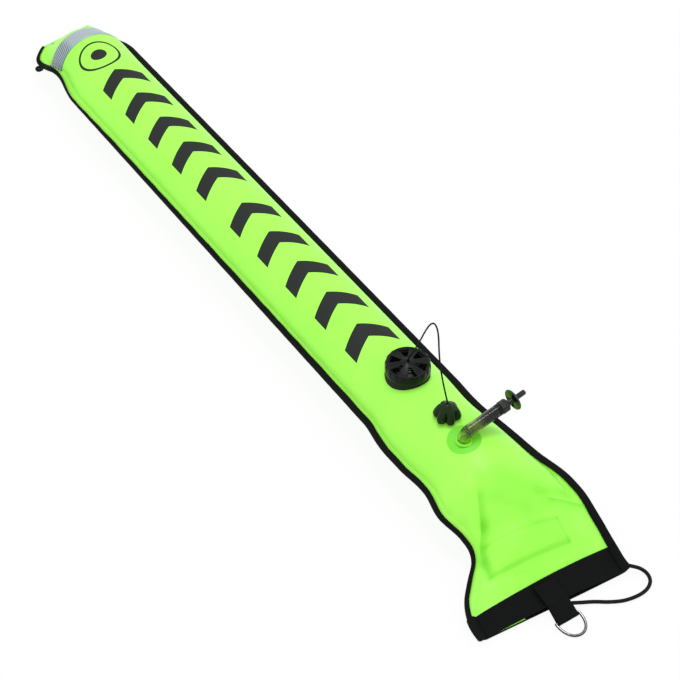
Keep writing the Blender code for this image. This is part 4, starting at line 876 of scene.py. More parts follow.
def thickened(made, depth):
    """A wall of this depth, grown outwards, as a modifier."""
    mod = made.modifiers.new("thick", "SOLIDIFY")
    mod.thickness = depth
    mod.offset = 1.0
    return made


def grid_piece(name, grid, look, uvs, face=1):
    """A mesh object from rows of points, turned over for the back."""
    faces = [f[::face] for f in ring_faces(len(grid), len(grid[0]), around=False)]
    return new_piece(name, [p for r in grid for p in r], faces, look, uvs)


for name, node, rows, top_edge, face, look in (
    ("front_cloth", "front_panel", front_rows, top_edge_front, 1, front_look),
    ("back_cloth", "back_panel", back_rows, top_edge_back, -1, back_look),
):
    grid = [*rows, top_edge]
    cloth = settled(thickened(grid_piece(name, grid, look, cloth_uvs(grid), face), SKIN))
    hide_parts(node)
    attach(cloth, "tube")

# Edge tapes
# Black woven binding, 7.5 mm to a side, folded over each long seam and sewn through with one row of stitches.
# Each runs from the mouth's webbing round the corner of the top end.
TAPE_WIDTH = 0.0075
TAPE = 0.0007
TAPE_FOLD = 0.0009
TAPE_CLEAR = 0.0005
TAPE_END_WIDER = 0.0009
TAPE_END_LEAD = 0.0010
TAPE_COLOR = (0.004, 0.0046, 0.0046)
THREAD_COLOR = (0.006, 0.0065, 0.0065)
THREAD_LIFT = 0.00005
STITCH_INSET = 0.0015
RIGHT_TAPE_END = 0.771
# the left tape's place along the tube and width in view (mm): it narrows where the cloth turns down
LEFT_TAPE = (
    (-291, 4.0), (-235, 3.0), (-190, 3.4), (-120, 4.6), (0, 5.8), (150, 5.4), (350, 4.4), (550, 3.4),
    (735, 3.0), (760, 5.0), (811, 3.6),
)


def woven_tape(name, color, pitch, ratio, strength, ribs=0.0):
    """Black webbing or binding. ribs is the step of its cross ribs, which run over the tape's width."""
    made, tree, shader = finish_of(name, color, 0.8, Specular_IOR_Level=0.09)
    pair, u, _ = cut_places(tree)
    height = shared(tree, WEAVE, Vector=pair, Pitch=pitch, Ratio=ratio)
    if ribs:
        wave = sums(tree, "SINE", sums(tree, "MULTIPLY", u, 2 * math.pi / ribs))
        height = sums(tree, "MULTIPLY_ADD", wave, 0.9, height)
    patches = uneven(tree, shader, 60.0, 0.2, 0.66)
    # painted shade and highlight: raised threads lighter and the hollows between them darker, with uneven
    # patches of tone
    tone = sums(tree, "MULTIPLY_ADD", height, 0.35, sums(tree, "MULTIPLY", patches, 0.5))
    shade = blended(tree, tone, [c * 0.55 for c in color], [c * 1.7 for c in color])
    feed(tree, shader, Base_Color=shade, Normal=bumped(tree, height, strength, 0.00025))
    return made


def stitch_tree():
    """Stitches along a line of edges: small rounded threads, one every Step."""
    inputs = [("Geometry", "Geometry", None), ("Step", "Float", 0.0032), ("Length", "Float", 0.0023)]
    inputs += [("Thickness", "Float", 0.00045), ("Thread", "Material", None)]
    made, entry = shared_effect("stitch_row", "GeometryNodeTree", inputs, "Geometry", "Geometry")
    line = add(made, "GeometryNodeMeshToCurve", {"Mesh": entry["Geometry"]}).outputs[0]
    along = {"Curve": line, "Length": entry["Step"]}
    spots = add(made, "GeometryNodeCurveToPoints", along, mode="LENGTH").outputs
    ball = add(made, "GeometryNodeMeshUVSphere", {"Segments": 6, "Rings": 6, "Radius": 0.5}).outputs["Mesh"]
    size = {0: entry["Thickness"], 1: entry["Thickness"], 2: entry["Length"]}
    size = add(made, "ShaderNodeCombineXYZ", size).outputs[0]
    each = {"Points": spots["Points"], "Instance": ball, "Rotation": spots["Rotation"], "Scale": size}
    threads = add(made, "GeometryNodeInstanceOnPoints", each).outputs[0]
    threads = add(made, "GeometryNodeRealizeInstances", {"Geometry": threads}).outputs[0]
    threads = add(made, "GeometryNodeSetShadeSmooth", {"Geometry": threads}).outputs[0]
    dressed = {"Geometry": threads, "Material": entry["Thread"]}
    dressed = add(made, "GeometryNodeSetMaterial", dressed).outputs[0]
    add(made, "NodeGroupOutput", {"Geometry": dressed})
    return made


STITCHES = stitch_tree()
thread_look, tree, shader = finish_of("sewing_thread", THREAD_COLOR, 0.6, Specular_IOR_Level=0.12)
spun = shared(tree, PATCHES, Vector=own_place(tree), Scale=900.0)
feed(tree, shader, Normal=bumped(tree, spun, 0.4, 0.0001))


def sewn(name, lines, look, step=0.0032, length=0.0023, thickness=0.00045):
    """Rows of stitches along lines of points, made by the stitch tree and turned into one plain mesh."""
    verts, edges = [], []
    for line in lines:
        start = len(verts)
        verts += [tuple(p) for p in line]
        edges += [(start + k, start + k + 1) for k in range(len(line) - 1)]
    mesh = bpy.data.meshes.new(name)
    mesh.from_pydata(verts, edges, [])
    made = placed(name, mesh)
    mod = made.modifiers.new("stitches", "NODES")
    mod.node_group = STITCHES
    values = {"Step": step, "Length": length, "Thickness": thickness, "Thread": look}
    for item in STITCHES.interface.items_tree:
        if item.in_out == "INPUT" and item.name in values:
            mod[item.identifier] = values[item.name]
    return settled(made)


def tape_piece(name, spots, widths, side, look, inner, lead=0.0):
    """Tape folded round a run of seam points, inner from the seam's middle. lead moves its start back."""
    outer = inner + TAPE
    # share of the width, distance further in, height
    profile = [(1, 0, inner + TAPE * 0.25), (1, 0, outer - TAPE * 0.25), (1, -0.0003, outer)]
    for k in range(9):
        angle = math.pi / 2 - math.pi * k / 8
        fold = TAPE_FOLD * max(math.cos(angle), 0.0) ** 0.8
        profile.append((0, -CLEAR - TAPE * 0.2 - fold, outer * math.sin(angle)))
    profile += [(1, -0.0003, -outer), (1, 0, -outer + TAPE * 0.25), (1, 0, -inner - TAPE * 0.25)]
    profile += [(1, -0.0003, -inner), (0, 0, -inner), (0, -CLEAR, 0), (0, 0, inner), (1, -0.0003, inner)]
    run = [0.0]
    for a, b in zip(profile, profile[1:]):
        run.append(run[-1] + math.hypot((b[0] - a[0]) * TAPE_WIDTH + b[1] - a[1], b[2] - a[2]))
    verts, uvs = [], []
    along = 0.0
    for i, (spot, width) in enumerate(zip(spots, widths)):
        if i:
            along += (spot.point - spots[i - 1].point).length
        wave = 0.00025 * math.sin(along * 1000 / 6.3 + 2 * math.sin(along * 1000 / 37))
        for (share, further, up), v in zip(profile, run):
            inward = share * width + further + wave * (1 if share else 0.3)
            verts.append(spot.at(inward, up) - spot.along * (0 if i else lead))
            uvs.append((along, v))
    faces = [f[::side] for f in ring_faces(len(spots), len(profile), ends=True)]
    made = new_piece(name, verts, faces, look, uvs)
    made.data.set_sharp_from_angle(angle=math.radians(60))
    return made


tape_look = woven_tape("edge_tape_weave", TAPE_COLOR, 0.0007, 0.55, 0.55)
tape_inner = CLEAR / 2 + SKIN + TAPE_CLEAR
over_webbing = CLEAR * 1.5 + SKIN + WEBBING + 0.0001
for name, node, spots, side in (
    ("left_tape", "left_edge_tape", LEFT, -1),
    ("right_tape", "right_edge_tape", RIGHT, 1),
):
    start = next(i for i in range(ROWS) if front_rows[i][1].y > MOUTH_Y + BAND_WIDTH + 0.0006)
    if side > 0:
        end = next(i for i, e in enumerate(spots) if e.point.y > RIGHT_TAPE_END)
        widths = [TAPE_WIDTH] * ROWS
    else:
        end = ROWS
        widths = [eased(LEFT_TAPE, e.point.y * 1000) / 1000 for e in spots]
    tape = tape_piece(name, spots[start:end], widths[start:end], side, tape_look, tape_inner)
    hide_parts(node)
    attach(tape, "tube")
    wider = [w + TAPE_END_WIDER for w in widths[: start + 1]]
    lower = spots[: start + 1]
    corner = tape_piece(name + "_mouth_end", lower, wider, side, tape_look, over_webbing, TAPE_END_LEAD)
    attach(corner, "tube")
    height = tape_inner + TAPE + THREAD_LIFT
    sewn_part = list(zip(spots, widths))[start + 1 : end - 1]
    lines = [[e.at(width - STITCH_INSET, up) for e, width in sewn_part] for up in (height, -height)]
    row = sewn(name + "_stitches", lines, thread_look)
    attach(row, "tube")

# Mouth webbing
# Two lengths of heavy black webbing, 26 mm wide, one on the outside of each lip. Each is turned in over the
# lip and sewn along both of its edges.
WEBBING_COLOR = (0.0036, 0.004, 0.004)
HEM_LEFT = -0.056
HEM_THICK = 0.0006
webbing_look = woven_tape("mouth_webbing_weave", WEBBING_COLOR, 0.0009, 0.6, 0.9, ribs=0.0019)


def softened(made, width, angle):
    """Edges sharper than this angle rounded, and the modifiers made part of the mesh."""
    bevel = made.modifiers.new("soft", "BEVEL")
    bevel.width = width
    bevel.segments = 2
    bevel.limit_method = "ANGLE"
    bevel.angle_limit = math.radians(angle)
    return settled(made)


def lip_webbing(name, face, look):
    """The webbing of one lip, and the last row of the cloth that it covers."""
    rows = front_rows if face > 0 else back_rows
    last = max(i for i in range(ROWS) if rows[i][1].y <= MOUTH_Y + BAND_WIDTH + MOUTH_SKEW * 0.98)
    grid = []
    for j in range(COLUMNS):
        out = (off_cloth(0, j, 0, face) - off_cloth(1, j, 0, face)).normalized() * CLEAR
        line = [off_cloth(0, j, 0.0001, face) + out, off_cloth(0, j, SKIN + CLEAR, face) + out]
        line += [off_cloth(i, j, SKIN + CLEAR, face) for i in range(last + 1)]
        grid.append(line)
    grid = [list(r) for r in zip(*grid)]
    uvs = []
    for i, line in enumerate(grid):
        along = 0.0
        for j, p in enumerate(line):
            if j:
                along += (p - line[j - 1]).length
            uvs.append((along, (p - grid[0][j]).length))
    made = thickened(grid_piece(name, grid, look, uvs, face), WEBBING)
    return softened(made, 0.0003, 50), last


for name, node, face in (
    ("front_webbing", "front_mouth_band", 1),
    ("back_webbing", "back_mouth_band", -1),
):
    band, last = lip_webbing(name, face, webbing_look)
    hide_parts(node)
    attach(band, "tube")
    top = SKIN + CLEAR + WEBBING + 0.00008
    lines = [[off_cloth(i, j, top, face) for j in range(2, COLUMNS - 2)] for i in (1, last - 1)]
    row = sewn(name + "_stitches", lines, thread_look, step=0.0036, length=0.0027, thickness=0.0006)
    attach(row, "tube")

inside = [j for j in range(4, COLUMNS - 4) if back_rows[0][j].x > HEM_LEFT]
turned_in = [[off_cloth(i, j, -0.0001, -1) for j in inside] for i in range(4)]
turned_in.insert(0, [p + Vector((0, -CLEAR - 0.0004, 0)) for p in turned_in[0]])
uvs = [(p.x, p.y) for r in turned_in for p in r]
hem = settled(thickened(grid_piece("back_webbing_hem", turned_in, webbing_look, uvs), HEM_THICK))
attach(hem, "tube")

# Reflective band
# Silver-grey retroreflective tape, about 24 mm wide, heat bonded over the front at the top end. Fine
# pressed lines run across it and show most on its left part.
BAND_START = 0.7385
BAND_LONG = 0.0245
BAND_THICK = 0.0004
BAND_LEFT = 0.0062
HATCH_STEP = 0.0032
SILVER = (0.36, 0.44, 0.47)
SILVER_DARK = (0.10, 0.13, 0.142)
band_look, tree, shader = finish_of("reflective_silver", SILVER, 0.35, Metallic=0.25)
_, u, v = cut_places(tree)
slant = sums(tree, "MULTIPLY_ADD", v, -0.35, u)
lines = sums(tree, "SINE", sums(tree, "MULTIPLY", slant, 2 * math.pi / HATCH_STEP))
lines = sums(tree, "GREATER_THAN", lines, 0.1)
marks = sums(tree, "MULTIPLY", lines, mapped(tree, u, -0.022, -0.031, 0.05, 1.0))
uneven(tree, shader, 120.0, 0.25, 0.25)
pressed = bumped(tree, lines, 0.3, 0.0001)
feed(tree, shader, Base_Color=blended(tree, marks, SILVER, SILVER_DARK), Normal=pressed)
span = [i for i in range(ROWS) if BAND_START <= front_rows[i][1].y <= BAND_START + BAND_LONG + 0.001]
grid, uvs = [], []
margin = CLEAR + SKIN
for i in span:
    middle = [off_cloth(i, j, SKIN + CLEAR * 0.5) for j in range(2, COLUMNS - 2)]
    grid.append([LEFT[i].at(BAND_LEFT, margin), *middle, RIGHT[i].at(TAPE_WIDTH + 0.0004, margin)])
    uvs += cloth_uvs([grid[-1]])
reflective = settled(thickened(grid_piece("reflective_tape", grid, band_look, uvs), BAND_THICK))
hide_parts("reflective_band")
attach(reflective, "tube")

# Corner loop
# A short loop of 3 mm braided cord, sewn under the left tape at the top end.
LOOP_RADIUS = 0.0031
LOOP_CORD = 0.0020
LOOP_REACH = 0.0050
LOOP_CLEAR = 0.0012
LOOP_Y = 0.774
loop_look = cord_finish("corner_cord", (0.004, 0.0045, 0.005), LOOP_CORD, 0.005, 0.7)
anchor = min(LEFT, key=lambda e: abs(e.point.y - LOOP_Y))
loop_points = []
for k in range(17):
    angle = math.pi * k / 16
    out = LOOP_REACH * math.sin(angle)
    offset = Vector((out + LOOP_CORD, LOOP_RADIUS * math.cos(angle), 0.0006 * math.sin(2 * angle)))
    loop_points.append(anchor.at(-TAPE - LOOP_CLEAR, 0) - offset)
loop_points.insert(0, loop_points[0] + Vector((LOOP_CORD, 0, 0)))
loop_points.append(loop_points[-1] + Vector((LOOP_CORD, 0, 0)))
corner_loop = swept("corner_cord_loop", loop_points, LOOP_CORD, loop_look, sides=14)
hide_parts("corner_loop")
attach(corner_loop, "tube")

# Dump valve
# A low round valve in hard black plastic on a rubber foot. Its cap has a raised rim with finger flats, and
# six ribs that rise from it to a small hub, with an open window between each two.
FOOT_TOP = 0.003
RIDGE_ROUND = 0.0519
CAP_OUTER = 0.025
CAP_INNER = 0.0222
CAP_RIM = 0.015
CAP_HUB = 0.017
CAP_ROOF = 0.0018
WALL_OUTER = 0.0216
WALL_INNER = 0.0198
WALL_TOP = 0.0108
WINDOWS = 6
# six wedges cut through the roof, and six slots through the body's floor, each as
# inner radius, outer radius, inner width, outer width, bottom, top, turn
CAP_WINDOWS = (0.0080, 0.0211, 0.0030, 0.0118, 0.010, 0.020, math.radians(8))
DRAIN_SLOTS = (0.0172, 0.0194, 0.0034, 0.0036, 0.001, 0.007, math.radians(30))
SPOKE = (0.027, 0.0026, 0.0015)
SPOKE_HEIGHT = -0.0052
GRIP_FLATS = 18
GRIP_DEPTH = 0.0008
GRIP_START = 0.0085
GRIP_FULL = 0.0105
# the black plastic's faint green tint is a painted reflection of the cloth
PLASTIC_GREEN_REFLECTED = (0.0040, 0.0066, 0.0046)
PLASTIC_WORN = (0.016, 0.018, 0.019)
VALVE = Matrix.Translation((0, 0, RIDGE))


def turned_piece(name, profile, place, look, steps=96, shape=None):
    """A body turned about local Z from (radius, height) pairs. shape(angle, radius, height) may move them."""
    verts = []
    closed = profile[0][0] > 1e-6 or profile[-1][0] > 1e-6
    for k in range(steps):
        angle = 2 * math.pi * k / steps
        for radius, height in profile:
            r, h = shape(angle, radius, height) if shape else (radius, height)
            verts.append(Vector((r * math.cos(angle), r * math.sin(angle), h)))
    faces = ring_faces(steps, len(profile), cyclic=True, around=closed)
    made = new_piece(name, verts, faces, look)
    bm = bmesh.new()
    bm.from_mesh(made.data)
    bmesh.ops.remove_doubles(bm, verts=bm.verts, dist=0.00001)
    bmesh.ops.dissolve_degenerate(bm, edges=bm.edges, dist=0.00001)
    bmesh.ops.recalc_face_normals(bm, faces=bm.faces)
    bm.to_mesh(made.data)
    bm.free()
    made.data.transform(place)
    made.data.set_sharp_from_angle(angle=math.radians(38))
    return made


def eased_profile(points, radius, steps=3):
    """A closed profile with its corners rounded."""
    found = []
    count = len(points)
    for i, p in enumerate(points):
        a = Vector(points[i - 1]) - Vector(p)
        b = Vector(points[(i + 1) % count]) - Vector(p)
        reach = min(radius, a.length * 0.4, b.length * 0.4)
        if p[0] < 1e-6 or reach < 1e-6:
            found.append(tuple(p))
            continue
        start = Vector(p) + a.normalized() * reach
        end = Vector(p) + b.normalized() * reach
        for k in range(steps + 1):
            t = k / steps
            q = start * (1 - t) ** 2 + Vector(p) * 2 * t * (1 - t) + end * t**2
            found.append((q.x, q.y))
    return found


def moulded(name, color, wear_and_highlight_color, roughness, scale=220.0, edge=0.5, shine=0.24):
    """Moulded black plastic: a fine sparked texture, uneven gloss and paler raised edges, which are wear on
    most parts and a painted highlight on the lock ring and plunger.
    """
    made, tree, shader = finish_of(name, color, roughness, Specular_IOR_Level=shine)
    patches = uneven(tree, shader, scale, 0.22, roughness - 0.08)
    noise = {"Vector": own_place(tree), "Scale": 2600.0, "Detail": 1.0}
    grain = add(tree, "ShaderNodeTexNoise", noise).outputs[0]
    sharp = add(tree, "ShaderNodeNewGeometry").outputs["Pointiness"]
    # paler raised edges: wear on most parts, a painted highlight on the lock ring and plunger
    wear = sums(tree, "MULTIPLY", mapped(tree, sharp, 0.52, 0.62, 0.0, edge), patches)
    normal = bumped(tree, grain, 0.12, 0.0001)
    feed(tree, shader, Base_Color=blended(tree, wear, color, wear_and_highlight_color), Normal=normal)
    return made


valve_look = moulded("valve_plastic", PLASTIC_GREEN_REFLECTED, PLASTIC_WORN, 0.20, shine=0.13)
rubber_look = moulded("soft_rubber", (0.006,) * 3, (0.012,) * 3, 0.6, scale=150.0, edge=0.2)
seal_look = moulded("soft_seal", (0.010,) * 3, (0.016,) * 3, 0.5, edge=0.1)


def cut_by(piece, cutter):
    """Take the cutter's shape out of the piece, then drop the cutter."""
    mod = piece.modifiers.new("cut", "BOOLEAN")
    mod.object = cutter
    mod.solver = "EXACT"
    settled(piece)
    bpy.data.objects.remove(cutter)


def round_windows(name, inner, outer, inner_width, outer_width, bottom, top, start):
    """Rounded wedge-shaped blocks round Z, to cut windows."""
    bm = bmesh.new()
    low_side, high_side = (inner, -inner_width / 2), (inner, inner_width / 2)
    far = [(outer * 0.985, -outer_width / 2), (outer, 0), (outer * 0.985, outer_width / 2)]
    rounded = eased_profile([low_side, *far, high_side], 0.0016, 4)
    for k in range(WINDOWS):
        turn = Matrix.Rotation(start + 2 * math.pi * k / WINDOWS, 3, "Z")
        outline = [turn @ Vector((*p, 0)) for p in rounded]
        low = [bm.verts.new((*p.xy, bottom)) for p in outline]
        high = [bm.verts.new((*p.xy, top)) for p in outline]
        bm.faces.new(low[::-1])
        bm.faces.new(high)
        for m in range(len(outline)):
            n = (m + 1) % len(outline)
            bm.faces.new((low[m], low[n], high[n], high[m]))
    bmesh.ops.recalc_face_normals(bm, faces=bm.faces)
    mesh = bpy.data.meshes.new(name)
    bm.to_mesh(mesh)
    bm.free()
    return placed(name, mesh)


def finished(piece, place, angle):
    """Shaded smooth up to this angle, and moved to its place."""
    piece.data.transform(place)
    piece.data.shade_smooth()
    piece.data.set_sharp_from_angle(angle=math.radians(angle))


def finger_flats(angle, radius, height):
    """Shallow flats round the upper part of the cap's rim."""
    if radius > CAP_OUTER - 0.0012 and height > GRIP_START:
        wave = 0.5 - 0.5 * math.cos(GRIP_FLATS * angle)
        return radius - GRIP_DEPTH * wave**2 * ramp(height, GRIP_START, GRIP_FULL), height
    return radius, height


# radius, height: the roof from the hub to the rim, the rim's outside, the skirt and the roof's underside
cap_profile = [
    (0.0017, CAP_HUB - 0.0002), (0.0021, CAP_HUB + 0.0001), (0.0036, CAP_HUB), (0.0050, CAP_HUB - 0.0006),
    (0.0080, CAP_HUB - 0.0013), (0.0125, CAP_HUB - 0.0021), (0.0172, CAP_RIM - 0.0009),
    (0.0200, CAP_RIM - 0.0013), (0.0213, CAP_RIM - 0.0012), (0.0221, CAP_RIM - 0.0004),
    (0.0227, CAP_RIM + 0.0002), (0.0236, CAP_RIM + 0.0002), (0.0243, CAP_RIM - 0.0004),
    (0.0248, CAP_RIM - 0.0014), (CAP_OUTER, CAP_RIM - 0.0030), (CAP_OUTER, 0.0098), (CAP_OUTER, 0.0080),
    (CAP_OUTER, 0.0042), (CAP_OUTER - 0.0003, FOOT_TOP + 0.0005), (CAP_OUTER - 0.0008, FOOT_TOP + CLEAR),
    (CAP_INNER, FOOT_TOP + CLEAR), (CAP_INNER, 0.0118), (WALL_OUTER, 0.0122), (WALL_INNER - 0.001, 0.0128),
    (0.0150, 0.0132), (0.0075, CAP_HUB - CAP_ROOF - 0.0003), (0.0017, CAP_HUB - CAP_ROOF),
]
cap = turned_piece("windowed_cap", cap_profile, Matrix.Identity(4), valve_look, 144, finger_flats)
cut_by(cap, round_windows("cap_windows", *CAP_WINDOWS))
finished(softened(cap, 0.0003, 40), VALVE, 38)
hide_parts("valve_cap")
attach(cap, "cap")

foot_profile = [(0.020, 0.0030), (0.0246, 0.0030), (0.0250, -0.0008), (0.020, 0.0006)]
foot_profile = eased_profile(foot_profile, 0.0006)


def on_ridge(angle, radius, height):
    """The foot's underside follows the round of the cloth across the tube."""
    if height < FOOT_TOP / 2:
        x = radius * math.cos(angle)
        drop = RIDGE_ROUND - math.sqrt(RIDGE_ROUND**2 - x * x)
        return radius, CLEAR - drop + 0.0001
    return radius, height


foot = turned_piece("valve_foot", foot_profile, VALVE, rubber_look, shape=on_ridge)
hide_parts("valve_boss")
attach(foot, "tube")

# radius, height: the throat and its seat, the floor, the outer wall and the throat's outside
body_profile = [
    (0.0134, -0.0044), (0.0134, 0.0056), (0.0137, 0.0060), (0.0144, 0.0060), (0.0148, 0.0056),
    (0.0155, 0.0050), (WALL_INNER, 0.0050), (WALL_INNER, WALL_TOP - 0.0003),
    (WALL_INNER + 0.0003, WALL_TOP), (WALL_OUTER - 0.0003, WALL_TOP), (WALL_OUTER, WALL_TOP - 0.0003),
    (WALL_OUTER, 0.0033), (0.0167, 0.0033), (0.0167, -0.0060), (0.0134, -0.0060),
]
body = turned_piece("valve_seat_body", body_profile, Matrix.Identity(4), valve_look)
cut_by(body, round_windows("drain_slots", *DRAIN_SLOTS))
bar = Matrix.Translation((0, 0, SPOKE_HEIGHT)) @ Matrix.Diagonal((*SPOKE, 1))
for k in range(2):
    bm = bmesh.new()
    bmesh.ops.create_cube(bm, size=1.0, matrix=Matrix.Rotation(math.pi / 2 * k, 4, "Z") @ bar)
    mesh = bpy.data.meshes.new("spoke")
    bm.to_mesh(mesh)
    bm.free()
    mesh.materials.append(valve_look)
    mesh.transform(VALVE)
    spoke = placed(f"throat_spoke_{k}", mesh)
    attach(spoke, "tube")
finished(body, VALVE, 38)
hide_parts("valve_body")
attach(body, "tube")

poppet_profile = [
    (0.0012, 0.0105), (0.0030, 0.0105), (0.0032, 0.0103), (0.0033, 0.0094), (0.0037, 0.0090),
    (0.0161, 0.0090), (0.0165, 0.0087), (0.0165, 0.0081), (0.0162, 0.0078), (0.0026, 0.0078),
    (0.0026, 0.0051), (0.0012, 0.0051),
]
poppet = turned_piece("poppet_plate", poppet_profile, VALVE, valve_look)
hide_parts("poppet")
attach(poppet, "poppet_set")


def redress(node, look):
    """Another finish on a CAD node that keeps its own shape."""
    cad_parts[node].data.materials.clear()
    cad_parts[node].data.materials.append(look)


redress("cap_gasket", rubber_look)
redress("poppet_seal", seal_look)

# Springs
# Stainless wire springs, one cone-shaped under the cap that presses the poppet shut and one straight in the
# inflator that brings its push valve back.
WIRE_STEPS = 28
CONE_TURNS = 3
CONE_WIRE = 0.0004
# radius at the bottom, radius at the top, bottom, top
CONE = (0.0115, 0.0062, 0.0097, 0.0142)
# The wire is darker and greener than bright stainless: painted shade inside the valves and a painted
# reflection of the cloth.
shaded_steel_look, tree, shader = finish_of("spring_wire", (0.17, 0.18, 0.15), 0.3, Metallic=1.0)
uneven(tree, shader, 400.0, 0.25, 0.14)


def wound(bottom_radius, top_radius, bottom, top, turns):
    """Points along a spring round local Z."""
    found = []
    for k in range(turns * WIRE_STEPS + 1):
        t = k / (turns * WIRE_STEPS)
        radius = bottom_radius + (top_radius - bottom_radius) * t
        angle = 2 * math.pi * turns * t
        height = bottom + (top - bottom) * t
        found.append(Vector((radius * math.cos(angle), radius * math.sin(angle), height)))
    return found


cone = wound(*CONE, CONE_TURNS)
spring = swept("poppet_cone_spring", [VALVE @ p for p in cone], CONE_WIRE, shaded_steel_look, sides=10)
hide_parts("poppet_spring")
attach(spring, "tube")
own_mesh(spring)

# Pull knob
# Black moulded knob on the cord's end: a small crown above six drooping petals, with deep open notches
# between them. The cord comes down into its crown.
PETALS = 6
PETAL_TURN = math.radians(16)
PETAL_DEPTH = 0.47
PETAL_FULL = 0.42
PETAL_START = 0.90
PETAL_ROUND = 0.62
knob_tall = knob_high.z - knob_low.z
# radius, height (mm), from the crown down the outside and up inside
KNOB_LINE = (
    (0, 19.4), (2.0, 19.4), (3.6, 18.9), (4.8, 18.0), (5.8, 17.0), (7.6, 16.2), (9.6, 15.0), (11.4, 13.2),
    (12.9, 11.0), (14.1, 8.6), (14.9, 6.2), (15.2, 4.0), (15.0, 2.2), (14.4, 0.9), (13.4, 0.1), (12.4, 0.0),
    (11.4, 0.5), (10.8, 1.8), (10.4, 4.0), (9.6, 7.0), (8.0, 9.4), (5.0, 11.0), (0, 11.4),
)
knob_profile = [(r / 1000, h / KNOB_LINE[0][1] * knob_tall) for r, h in KNOB_LINE]


def petals(angle, radius, height):
    """Deep notches between six petals that start near the crown."""
    depth = 1 - ramp(height / knob_tall, PETAL_FULL, PETAL_START)
    lobe = abs(math.cos(PETALS / 2 * (angle - PETAL_TURN))) ** PETAL_ROUND
    return radius * (1 - PETAL_DEPTH * depth * (1 - lobe)), height


# The knob is black; its green colour, on its body and its worn edges, is a painted reflection of the cloth.
KNOB_GREEN_REFLECTION = (0.0090, 0.0240, 0.0060)
KNOB_WORN_AND_REFLECTED = (0.024, 0.044, 0.018)
knob_look = moulded("knob_plastic", KNOB_GREEN_REFLECTION, KNOB_WORN_AND_REFLECTED, 0.18, shine=0.12)
knob_place = Matrix.Translation((KNOB_SPOT.x, KNOB_SPOT.y, knob_low.z))
knob = turned_piece("lobed_knob", knob_profile, knob_place, knob_look, steps=180, shape=petals)
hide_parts("pull_knob")
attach(knob, "poppet_set")

# Inflator
# A clear smoke-tinted elbow, welded upright into the front cloth and bent to the right, with a push valve in
# its end: a plug body, a fluted lock ring, and a plunger with a round finger disc and a hollow nozzle.
ELBOW_SPOT = Vector((-0.007, -0.112, 0.085577))
ARM = Vector((0.98903, 0.06916, 0.130526)).normalized()
ELBOW_RADIUS = 0.0066
ELBOW_BORE = 0.0050
ELBOW_BEND = 0.0075
ELBOW_ARM = 0.0445
ELBOW_FOOT = 0.0140
ELBOW_SIDES = 40
arm_place = Matrix.Translation(ELBOW_SPOT) @ ARM.to_track_quat("Z", "Y").to_matrix().to_4x4()
up = Vector((0, 0, 1))
bend_path = [ELBOW_SPOT - up * (ELBOW_FOOT - 0.001 * k) for k in range(7)]
for k in range(17):
    t = k / 16
    bend_path.append(ELBOW_SPOT - up * ELBOW_BEND * (1 - t) ** 2 + ARM * ELBOW_BEND * t**2)
straight = ELBOW_ARM - ELBOW_BEND
bend_path += [ELBOW_SPOT + ARM * (ELBOW_BEND + straight * k / 16) for k in range(1, 17)]

# place along the tube in mm, tint: the smoke tint, with painted show-through of the green cloth at the foot
# and of the dark plug at the far end
SMOKE_LONG = 0.060
SMOKE_AND_SHOW_THROUGH = (
    (2, (0.92, 1.0, 0.09)),
    (9, (0.80, 0.90, 0.11)),
    (15, (0.36, 0.35, 0.15)),
    (29, (0.46, 0.43, 0.20)),
    (38, (0.13, 0.13, 0.11)),
    (44, (0.06, 0.065, 0.07)),
)
clear = dict(Transmission_Weight=0.97, IOR=1.4)
smoke_look, tree, shader = finish_of("smoke_tinted_tube", (0.34, 0.29, 0.16), 0.05, **clear)
patches = uneven(tree, shader, 130.0, 0.08, 0.01)
_, u, _ = cut_places(tree)
place_along = sums(tree, "MULTIPLY_ADD", patches, 0.08, sums(tree, "DIVIDE", u, SMOKE_LONG))
tint_and_show_through = add(tree, "ShaderNodeValToRGB", {0: place_along})
while len(tint_and_show_through.color_ramp.elements) < len(SMOKE_AND_SHOW_THROUGH):
    tint_and_show_through.color_ramp.elements.new(0.5)
for stop, (along, color) in zip(tint_and_show_through.color_ramp.elements, SMOKE_AND_SHOW_THROUGH):
    stop.position = along / 1000 / SMOKE_LONG + 0.04
    stop.color = (*color, 1)
feed(tree, shader, Base_Color=tint_and_show_through.outputs[0])


def pipe(name, points, outer, inner, look, sides):
    """A hollow tube with flat open ends."""
    made = swept(name, points, outer, look, sides, ends=False)
    lining = swept(name + "_bore", points, inner, look, sides, ends=False)
    lining.data.flip_normals()
    bm = bmesh.new()
    bm.from_mesh(made.data)
    first = len(bm.verts)
    bm.from_mesh(lining.data)
    bm.verts.ensure_lookup_table()
    last = (len(points) - 1) * sides
    for k in range(sides):
        n = (k + 1) % sides
        for ring, a, b in ((0, n, k), (last, k, n)):
            corners = (ring + a, ring + b, first + ring + b, first + ring + a)
            bm.faces.new([bm.verts[c] for c in corners])
    bm.to_mesh(made.data)
    bm.free()
    bpy.data.objects.remove(lining)
    made.data.set_sharp_from_angle(angle=math.radians(50))
    return made


elbow = pipe("smoke_elbow", bend_path, ELBOW_RADIUS, ELBOW_BORE, smoke_look, ELBOW_SIDES)
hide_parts("elbow_tube")
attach(elbow, "tube")

